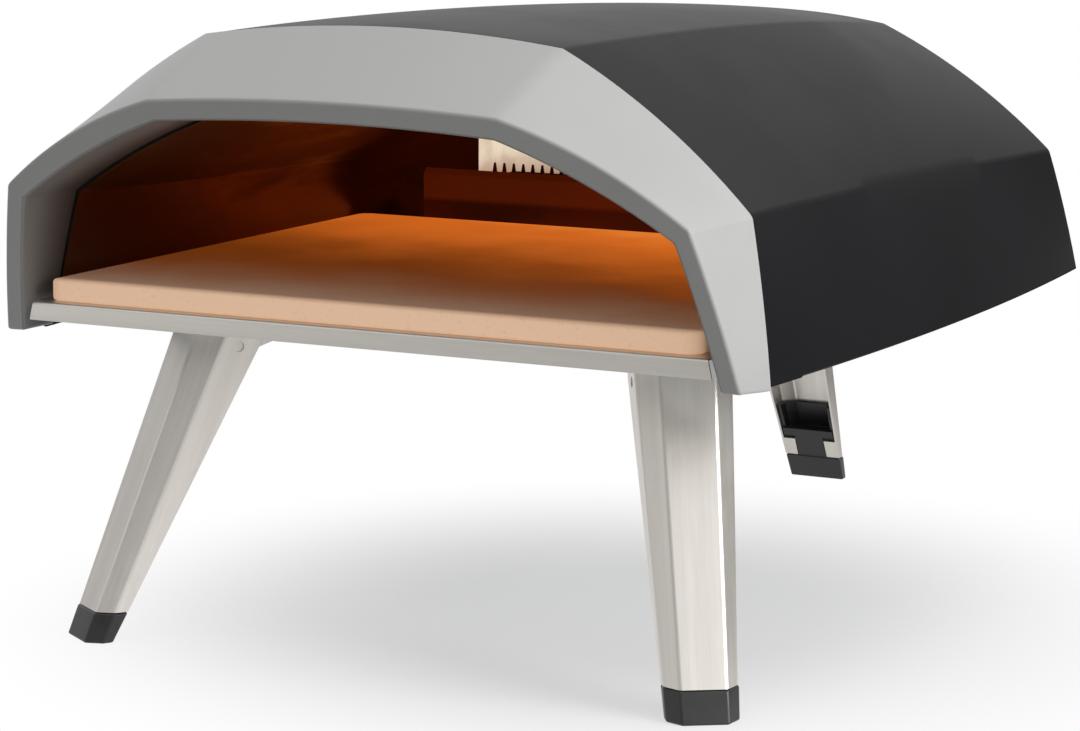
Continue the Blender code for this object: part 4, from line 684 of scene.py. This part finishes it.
def browned_and_flame_lit_finish(name):
    """Stainless steel browned by heat, with painted flame light warming its colour and glowing
    faintly on it, more towards the rear and less where it is sooty.
    """
    material, tree, shader = new_material(name)
    shader.inputs["Metallic"].default_value = browned_metal
    split = placed(tree)[1]
    # painted flame light: the browning colour warms towards the burner
    heat = ranged(tree, split["Y"], stain_and_flame_start, stain_and_flame_end)
    stain_and_light = use_group(tree, stain_and_flame_light, Heat=heat)
    grain = use_group(tree, surface_grain, Grain_Scale=600, Patch_Scale=35)
    tree.links.new(stain_and_light["Colour"], shader.inputs["Base Color"])
    rough = ranged(tree, stain_and_light["Soot"], 0, 1, *browned_roughness)
    tree.links.new(rough, shader.inputs["Roughness"])
    add_relief(tree, shader, grain["Grain"], fine_relief)
    # painted flame light: a faint glow that rises towards the burner
    flame_glow = maths(tree, "MULTIPLY", ranged(tree, split["Y"], flame_glow_start, flame_glow_end),
                  ranged(tree, stain_and_light["Soot"], 0, 1, 1, flame_glow_in_soot))
    tree.links.new(mixed(tree, flame_glow, (0.0, 0.0, 0.0), flame_glow_colour),
                   shader.inputs["Emission Color"])
    shader.inputs["Emission Strength"].default_value = 1
    return material, tree, shader


browned_and_flame_lit_steel = browned_and_flame_lit_finish("browned_and_flame_lit_steel")[0]
chamber_low, chamber_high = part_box("chamber_liner")
rows = []
for i in range(chamber_rows + 1):
    share = i / chamber_rows
    outline = arch(creases(chamber_front, chamber_rear, straight, share), chamber_crowns)
    y = bowed(chamber_low.y, chamber_high.y, 0, share)
    rows.append(at_y(moved_out(outline, chamber_wall), y))
show("chamber_arch", walled("chamber_arch", bent_sheet(rows), chamber_wall), browned_and_flame_lit_steel,
     "oven_body", ("chamber_liner",))
eased_node("rear_liner", "chamber_rear_wall", cut_edge, browned_and_flame_lit_steel, "oven_body")

# Stone tray
# One stainless sheet under the stone, its front edge rolled over and turned down as a lip that
# closes the gap below the mouth.
tray_wall = 0.0010
tray_side_gap = 0.0010
tray_roll = 0.0020
roll_steps = 8


def chamber_half(share, height):
    """Inner half width of the chamber at a height below its shoulder."""
    foot, shoulder, _ = creases(chamber_front, chamber_rear, straight, share)
    return bowed(foot[0], shoulder[0], 0, (height - foot[1]) / (shoulder[1] - foot[1]))


tray_low, tray_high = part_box("stone_tray")
lip_half = chamber_half(0, tray_low.z) - tray_side_gap
front_half = chamber_half(0, tray_high.z) - tray_side_gap
rear_half = chamber_half(1, tray_high.z) - tray_side_gap
profile = [(tray_low.y, tray_low.z)]
for i in range(roll_steps + 1):
    angle = math.pi / 2 * i / roll_steps
    profile.append((tray_low.y + tray_roll * (1 - math.cos(angle)),
                    tray_high.z - tray_roll * (1 - math.sin(angle))))
rows = [[(side * bowed(lip_half, front_half, 0, (z - tray_low.z) / (tray_high.z - tray_low.z)),
          y, z) for side in (-1, 1)] for y, z in profile]
rows.append([(side * front_half, chamber_low.y, tray_high.z) for side in (-1, 1)])
rows.append([(side * rear_half, tray_high.y, tray_high.z) for side in (-1, 1)])
set_brush(show("rolled_tray", walled("rolled_tray", bent_sheet(rows), tray_wall), warm_stainless,
               "oven_body", ("stone_tray",)), along_x)

# Baking stone
# A loose slab of cordierite, pale at the mouth and orange at the back from painted flame light,
# with round corners and slightly worn edges. It slides out over the lip.
stone_corner = 0.0078
stone_edge = 0.0014
round_angle = math.radians(50)
# painted flame light: the orange colour at the back is the flame's light painted in
stone_pale, stone_flame_orange = (0.80, 0.58, 0.43), (0.66, 0.27, 0.08)
stone_speck, stone_worn = (0.42, 0.25, 0.15), (0.80, 0.62, 0.46)
glow_pale, glow_warm, glow_front = (0.11, 0.055, 0.030), (0.11, 0.022, 0.001), (0.56, 0.36, 0.23)
glow_orange, glow_yellow = (0.62, 0.13, 0.012), (0.80, 0.24, 0.04)
flame_tint_start, flame_tint_end, flame_tint_drift = -0.27, -0.12, 0.03
speck_scale, speck_share, worn_share = 420, 0.35, 0.18
stone_roughness, stone_relief = (0.80, 0.94), 0.00012
warm_start, warm_end, glow_slant = -0.27, -0.16, 0.18
orange_reach, yellow_reach = (-0.18, 0.03), (-0.01, 0.07)
front_depth, front_fade, front_share = 0.002, 0.012, 0.63
stone_low, stone_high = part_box("baking_stone")


def stone_finish():
    """Sandy beige with specks and pores, paler where it is worn; painted flame light turns its
    colour and glow orange towards the rear, and a painted glow brightens its front edge.
    """
    material, tree, shader = new_material("flame_lit_cordierite")
    place, split = placed(tree)
    grain = use_group(tree, surface_grain, Grain_Scale=1100, Patch_Scale=16)
    drift = maths(tree, "MULTIPLY", maths(tree, "SUBTRACT", grain["Patches"], 0.5), flame_tint_drift)
    depth = maths(tree, "ADD", split["Y"], drift)
    # painted flame light: the colour turns orange towards the rear
    colour = mixed(tree, ranged(tree, depth, flame_tint_start, flame_tint_end), stone_pale, stone_flame_orange)
    speck = add_node(tree, "ShaderNodeTexNoise", Vector=place, Scale=speck_scale, Detail=2,
                     Roughness=0.5)
    specks = ranged(tree, speck.outputs["Fac"], 0.62, 0.70, 0, speck_share)
    colour = mixed(tree, specks, colour, stone_speck)
    worn = maths(tree, "MULTIPLY", grain["Patches"], worn_share)
    colour = mixed(tree, worn, colour, stone_worn)
    tree.links.new(colour, shader.inputs["Base Color"])
    rough = ranged(tree, grain["Grain"], 0.3, 0.7, *stone_roughness)
    tree.links.new(rough, shader.inputs["Roughness"])
    relief = maths(tree, "SUBTRACT", grain["Grain"], maths(tree, "MULTIPLY", specks, 0.8))
    add_relief(tree, shader, relief, stone_relief)
    # painted flame light: a glow that warms and turns orange and yellow towards the rear
    warm = mixed(tree, ranged(tree, depth, warm_start, warm_end), glow_pale, glow_warm)
    reach = maths(tree, "ADD", depth, maths(tree, "MULTIPLY", split["X"], glow_slant))
    fire = mixed(tree, ranged(tree, reach, *orange_reach), warm, glow_orange)
    fire = mixed(tree, ranged(tree, reach, *yellow_reach), fire, glow_yellow)
    # painted light: a glow along the front edge brightens it
    front = ranged(tree, split["Y"], stone_low.y + front_depth, stone_low.y + front_fade,
                   front_share, 0)
    tree.links.new(mixed(tree, front, fire, glow_front), shader.inputs["Emission Color"])
    shader.inputs["Emission Strength"].default_value = 1
    return material


def block(size, middle):
    """A plain block to be rounded."""
    bm = bmesh.new()
    bmesh.ops.create_cube(bm, size=1)
    bmesh.ops.scale(bm, vec=size, verts=bm.verts)
    bmesh.ops.translate(bm, vec=middle, verts=bm.verts)
    return bm


bm = block(stone_high - stone_low, (stone_low + stone_high) / 2)
upright = [edge for edge in bm.edges
           if abs(edge.verts[0].co.z - edge.verts[1].co.z) > stone_corner]
bmesh.ops.bevel(bm, geom=upright, offset=stone_corner, segments=10, profile=0.5,
                affect="EDGES", material=-1)
ease_edges(bm, stone_edge, 5, round_angle)
show("cordierite_slab", bm, stone_finish(), "stone", ("baking_stone",))

# Flame strip
# A low upright strip of thin steel behind the stone, its top edge curled back. It throws the
# flame up over the stone and is browned through, and its upper half catches the glow.
strip_dim, strip_lit = (0.006, 0.0006, 0.0001), (0.050, 0.0050, 0.0004)
lit_from, lit_full = -0.001, 0.003
lit_left, lit_right, right_share = -0.01, 0.06, 0.1


def strip_finish():
    """Browned steel, lit dull orange by the flame along its upper half, less to the right."""
    material, tree, shader = browned_and_flame_lit_finish("lit_strip")
    low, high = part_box("flame_shield")
    middle = (low.z + high.z) / 2
    split = placed(tree)[1]
    lit = maths(tree, "MULTIPLY", ranged(tree, split["Z"], middle + lit_from, middle + lit_full),
                ranged(tree, split["X"], lit_left, lit_right, 1, right_share))
    tree.links.new(mixed(tree, lit, strip_dim, strip_lit), shader.inputs["Emission Color"])
    return material


eased_node("flame_shield", "flame_strip", cut_edge, strip_finish(), "oven_body")

# Burner
# A steel trough with a toothed strip in front of it, under a bent sheet hood that turns the flame
# forward. The hood carries the flame's light as a strong painted glow; the rest is browned
# through, the trough and toothed strip with the chamber's faint painted glow.
glow_strength = 0.76
hood_red, hood_orange, hood_pale = (0.30, 0.06, 0.0), (0.92, 0.50, 0.20), (1.0, 0.86, 0.66)
glow_low, glow_high = 0.185, 0.215
pale_end, orange_start = -0.10, -0.02


def glowing_finish():
    """Browned steel lit by the flame, dull red low down and pale yellow above, paler at the left."""
    material, tree, shader = browned_and_flame_lit_finish("glowing_steel")
    split = placed(tree)[1]
    grain = use_group(tree, surface_grain, Grain_Scale=300, Patch_Scale=45)
    rise = ranged(tree, split["Z"], glow_low, glow_high)
    hot = maths(tree, "MULTIPLY", rise, ranged(tree, grain["Patches"], 0, 1, 0.75, 1))
    pale = mixed(tree, ranged(tree, split["X"], pale_end, orange_start), hood_pale, hood_orange)
    tree.links.new(mixed(tree, hot, hood_red, pale), shader.inputs["Emission Color"])
    shader.inputs["Emission Strength"].default_value = glow_strength
    return material


glowing_steel = glowing_finish()
eased_node("burner_hood", "flame_hood", cut_edge, glowing_steel, "oven_body")
for node, name in (("burner_trough", "gas_trough"), ("burner_comb", "toothed_strip")):
    eased_node(node, name, cut_edge, browned_and_flame_lit_steel, "oven_body")
for side in ("left", "right"):
    eased_node("burner_stand_" + side, "trough_stand_" + side, cut_edge, zinc_plate, "oven_body")

# Gas line
# Brass inlet below the pan, a cast valve with its brass plug, stem and spring, the jet, and the
# tube that carries gas and air to the trough, with the igniter, its lead and its electrode.
wire_angle = math.radians(60)
brass_dark, brass_light = (0.58, 0.38, 0.14), (0.78, 0.58, 0.26)
cast_dark, cast_light = (0.44, 0.44, 0.45), (0.58, 0.58, 0.59)
wire_dark, wire_light = (0.44, 0.44, 0.46), (0.58, 0.58, 0.60)
silicone_colours = ((0.38, 0.045, 0.03), (0.48, 0.07, 0.045))
ceramic_colours = ((0.82, 0.80, 0.75), (0.88, 0.86, 0.82))


def metal_finish(name, dark, light, roughness, relief):
    """A turned or cast metal: near tones in soft patches over a fine grain."""
    material, tree, shader = new_material(name)
    shader.inputs["Metallic"].default_value = 1
    grain = use_group(tree, surface_grain, Grain_Scale=1200, Patch_Scale=90)
    tree.links.new(mixed(tree, grain["Patches"], dark, light), shader.inputs["Base Color"])
    tree.links.new(ranged(tree, grain["Patches"], 0, 1, *roughness), shader.inputs["Roughness"])
    add_relief(tree, shader, grain["Grain"], relief)
    return material


turned_brass = metal_finish("turned_brass", brass_dark, brass_light, (0.24, 0.36), 0.000004)
die_cast = metal_finish("die_cast", cast_dark, cast_light, (0.42, 0.58), 0.00003)
plain_wire = metal_finish("plain_wire", wire_dark, wire_light, (0.26, 0.36), 0.000004)
red_silicone = moulded_finish("red_silicone", silicone_colours, (0.46, 0.58), 900, 80,
                              fine_relief)
white_ceramic = moulded_finish("glazed_ceramic", ceramic_colours, (0.16, 0.26), 500, 60,
                               0.000006)
for node, name, material, slot in (
        ("gas_inlet", "brass_inlet", turned_brass, "brass"),
        ("gas_jet", "brass_jet", turned_brass, "brass"),
        ("gas_valve", "valve_body", die_cast, "cast_alloy"),
        ("venturi_tube", "mixing_tube", zinc_plate, "galvanised_steel"),
        ("piezo_igniter", "spark_box", black_nylon, "black_plastic"),
        ("spark_electrode", "electrode_wire", plain_wire, "spring_steel"),
        ("electrode_insulator", "ceramic_sleeve", white_ceramic, "white_ceramic"),
        ("ignition_lead", "spark_lead", red_silicone, "silicone_lead")):
    show(name, merged_copy(node), material, "oven_body", (node,), round_angle)
show("brass_plug", merged_copy("valve_plug"), turned_brass, "gas_plug", ("valve_plug",))
coil_spring = show("coil_spring", merged_copy("valve_spring"), plain_wire, "gas_plug",
                   ("valve_spring",), wire_angle)
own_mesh(coil_spring)
show("turned_stem", merged_copy("valve_stem"), die_cast, "knob", ("valve_stem",))

# Outer cover
# The big folded cover of thin steel, powder coated black: two upright sides, two slopes and a
# roof, all slightly crowned, with a hem turned in along each foot and a rim at each end.
cover_front = ((0.1907, 0.1538), (0.1861, 0.2315), (0.0926, 0.3012))
cover_rear = ((0.1925, 0.1538), (0.1747, 0.2196), (0.0747, 0.2864))
cover_bows = ((0.00957, 0), (-0.0066, 0), (0.0077, 0.00575))
cover_crowns = (0.00088, 0.0050, 0.0066)
cover_wall = 0.0012
cover_fold = 0.0018
cover_rows = 40
hem_width = 0.0180
hem_start = 0.125
rim_width = 0.0105
coat_colours = ((0.0082, 0.0084, 0.0092), (0.0098, 0.0101, 0.0110))
coat_ior = 1.12

powder_coat = moulded_finish("powder_coat", coat_colours, (0.42, 0.46), 1500, 9, 0.000004)
powder_coat.node_tree.nodes["Principled BSDF"].inputs["IOR"].default_value = coat_ior
cover_low, cover_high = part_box("outer_shell")


def cover_outline(share):
    return arch(creases(cover_front, cover_rear, cover_bows, share), cover_crowns)


def cover_row(share):
    """One row of the cover with its hems, which start some way behind the front."""
    row = at_y(cover_outline(share), bowed(cover_low.y, cover_high.y, 0, share))
    left, right = Vector(row[0]), Vector(row[-1])
    inward = Vector((hem_width if share >= hem_start else 0, 0, 0))
    return [left + inward] + row + [right - inward]


def rim_row(share):
    """The inner edge of a rim, drawn out to a point at each foot."""
    y = bowed(cover_low.y, cover_high.y, 0, share)
    outer = at_y(cover_outline(share), y)
    inner = at_y(moved_out(cover_outline(share), -rim_width), y)
    return [outer[0], outer[0]] + inner[1:-1] + [outer[-1], outer[-1]]


rows = [rim_row(0)] + [cover_row(i / cover_rows) for i in range(cover_rows + 1)] + [rim_row(1)]
show("folded_cover", walled("folded_cover", bent_sheet(rows), cover_wall, cover_fold), powder_coat,
     "oven_body", ("outer_shell",))

# Rear panel and burner cover
# A flat plate closes the back, and a folded box with slots for the burner's air is screwed over
# it. Both are steel in the same black as the cover.
eased_node("rear_panel", "back_plate", cut_edge, powder_coat, "oven_body")
show("slotted_cover", merged_copy("burner_cover"), powder_coat, "oven_body",
     ("burner_cover",))

# Screws
# Small domed screws with a cross recess hold the rear panel, the burner cover, the valve and the
# cover's hems.
screw_head = 0.0018
screw_head_radius = 0.0034
screw_radius = 0.0015
recess_depth = 0.0011
recess_arm = 0.0019
recess_slot = 0.00045
screw_profile = ((0, screw_head - recess_depth), (recess_arm * 0.6, screw_head - recess_depth),
                 (recess_arm, screw_head * 0.93), (screw_head_radius * 0.72, screw_head * 0.80),
                 (screw_head_radius * 0.90, screw_head * 0.52),
                 (screw_head_radius, screw_head * 0.2), (screw_head_radius, 0), (screw_radius, 0),
                 (screw_radius, -screw_head * 3), (0, -screw_head * 3))


def cross_recess(bm, arm, slot):
    """Draws the ring of an open recess in to a cross with arms of a width."""
    for vert in bm.verts:
        radius = math.hypot(vert.co.x, vert.co.y)
        if vert.co.z > 0 and merge_distance < radius < arm * 1.01:
            turn = math.atan2(vert.co.y, vert.co.x) % (math.pi / 2)
            near = min(turn, math.pi / 2 - turn)
            reach = min(1 / math.cos(near), slot / arm / max(math.sin(near), 0.01))
            vert.co.x *= reach
            vert.co.y *= reach
    return bm


for kind, count, outward in (("rear", 3, (0, 1, 0)), ("cover", 4, (0, 1, 0)),
                             ("valve", 2, (0, 1, 0)), ("pan", 4, (0, 0, -1))):
    for number in range(1, count + 1):
        node = "%s_screw_%d" % (kind, number)
        bm = cross_recess(spun(screw_profile), recess_arm, recess_slot)
        laid(bm, head_seat(node, outward, screw_head), outward)
        set_brush(show("cross_" + node, bm, bright_fastener, "oven_body",
                       (node,)), along_x)

# Front surround
# One grey moulding round the mouth: an upright inner face, a leaning band and a broad flank that
# flares back to the cover. It is bare and satin smooth, with painted shade darkening it inside the
# mouth.
mouth_creases = ((0.1838, 0.1560), (0.1690, 0.2230), (0.0876, 0.2644))
band_creases = ((0.1937, 0.1560), (0.1772, 0.2295), (0.0900, 0.2743))
flank_creases = ((0.1974, 0.1541), (0.1872, 0.2312), (0.0940, 0.3012))
band_crowns = (0.0010, 0.0049, 0.0033)
surround_depth = 0.0249
surround_lean = math.radians(15.64)
surround_wall = 0.0030
surround_round = 0.0016
surround_steps = (8, 24, 36)
flank_rows = 6
grey_colours = ((0.40, 0.405, 0.395), (0.425, 0.43, 0.42))
# painted shade: the colour and depth of the darkening on the faces inside the mouth
painted_shade_colour = (0.035, 0.034, 0.033)
painted_shade_depth, painted_shade_front, painted_shade_rear = 0.035, 0.5, 0.9
mouth_middle = 0.190
inward_start, inward_full = -0.030, -0.060
surround_rear_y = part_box("front_fascia")[1].y
surround_foot_y = surround_rear_y - surround_depth


def grey_with_painted_shade():
    """Satin grey, with painted shade darkening the faces that look into the mouth, more towards the
    chamber.
    """
    material = moulded_finish("grey_satin", grey_colours, (0.40, 0.48), 1300, 12, 0.00002)
    tree = material.node_tree
    colour = tree.nodes["Principled BSDF"].inputs["Base Color"]
    split = placed(tree)[1]
    across = add_node(tree, "ShaderNodeCombineXYZ", X=split["X"],
                      Z=maths(tree, "SUBTRACT", split["Z"], mouth_middle)).outputs["Vector"]
    normal = tree.nodes.new("ShaderNodeNewGeometry").outputs["Normal"]
    inward = vector_maths(tree, "DOT_PRODUCT", across, normal)["Value"]
    deep = ranged(tree, split["Y"], surround_rear_y - painted_shade_depth, surround_rear_y,
                  painted_shade_front, painted_shade_rear)
    # painted shade on the faces that look into the mouth, deeper towards the chamber
    painted_shade = maths(tree, "MULTIPLY", ranged(tree, inward, inward_start, inward_full), deep)
    tree.links.new(mixed(tree, painted_shade, colour.links[0].from_socket, painted_shade_colour), colour)
    return material


def on_band(outline):
    """The outline laid on the plane that leans forward from the foot of the mouth."""
    lean = math.tan(surround_lean)
    return [Vector((x, surround_foot_y - lean * (z - mouth_creases[0][1]), z)) for x, z in outline]


def rows_between(first, last, count):
    """Rows that run evenly from one row of points to another, the first left out."""
    shares = [(i + 1) / count for i in range(count)]
    return [[Vector(a).lerp(Vector(b), share) for a, b in zip(first, last)] for share in shares]


mouth = arch(mouth_creases, chamber_crowns, surround_steps)
band = on_band(arch(band_creases, band_crowns, surround_steps))
flank = at_y(arch(flank_creases, cover_crowns, surround_steps), surround_rear_y)
rows = [at_y(mouth, surround_rear_y), on_band(mouth), band] + rows_between(band, flank, flank_rows)
bm = bent_sheet(rows)
for side in (-1, 1):
    low = [vert for vert in bm.verts if vert.is_boundary and vert.co.x * side > mouth_creases[1][0]
           and vert.co.z < mouth_creases[0][1] + merge_distance]
    bmesh.ops.contextual_create(bm, geom=low)
show("grey_surround", walled("grey_surround", bm, surround_wall, surround_round), grey_with_painted_shade(),
     "oven_body", ("front_fascia",))

# Control knob
# A round black knob on the back with a raised grip bar and a pale line that points along it.
# Pushed in and turned, it opens the gas.
knob_radius = 0.0210
knob_bore, knob_bore_depth = 0.0044, 0.0070
knob_base = 0.0076
knob_top = 0.0158
knob_dish = 0.0002
knob_round = 0.0010
grip_width = 0.0090
grip_inset = 0.0030
grip_draft = (0.72, 1, 0.94)
grip_corner = grip_width * 0.32
grip_edge = 0.0010
pointer_width = 0.0012
pointer_rise = 0.0002
pointer_edge = 0.00012

knob_low, knob_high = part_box("control_knob")
knob_middle = (knob_low + knob_high) / 2
knob_foot = Vector((knob_middle.x, knob_low.y, knob_middle.z))
knob_profile = ((0, knob_bore_depth), (knob_bore, knob_bore_depth), (knob_bore, 0),
                (knob_radius, 0), (knob_radius, knob_base * 0.80),
                (knob_radius - knob_round, knob_base * 0.94),
                (knob_radius - knob_round * 2.4, knob_base), (knob_top, knob_base + knob_dish),
                (0, knob_base + knob_dish))
show("knob_disc", laid(spun(knob_profile, 96), knob_foot, (0, 1, 0)), black_nylon, "knob",
     ("control_knob",))

grip_length = 2 * knob_radius - grip_inset
grip_base = knob_base - knob_round
grip_rise = knob_high.y - knob_low.y - grip_base - pointer_rise
bm = block((grip_width, grip_rise, grip_length),
           knob_foot + Vector((0, grip_base + grip_rise / 2, 0)))
outer = [vert for vert in bm.verts if vert.co.y > knob_foot.y + knob_base]
bmesh.ops.scale(bm, vec=grip_draft, space=Matrix.Translation(-knob_foot), verts=outer)
upright = [edge for edge in bm.edges
           if abs(edge.verts[0].co.y - edge.verts[1].co.y) > grip_rise / 2]
bmesh.ops.bevel(bm, geom=upright, offset=grip_corner, segments=8, profile=0.5,
                affect="EDGES", material=-1)
ease_edges(bm, grip_edge, 4, round_angle)
show("knob_grip", bm, black_nylon, "knob")

pale_print = moulded_finish("pale_print", ((0.70, 0.70, 0.69), (0.78, 0.78, 0.77)), (0.5, 0.6),
                            1200, 60, 0.000005)
bm = block((pointer_width, 2 * pointer_rise, grip_length * 0.30),
           (knob_foot.x, knob_high.y - pointer_rise, knob_foot.z + grip_length * 0.28))
ease_edges(bm, pointer_edge, 2, round_angle)
show("knob_pointer", bm, pale_print, "knob")
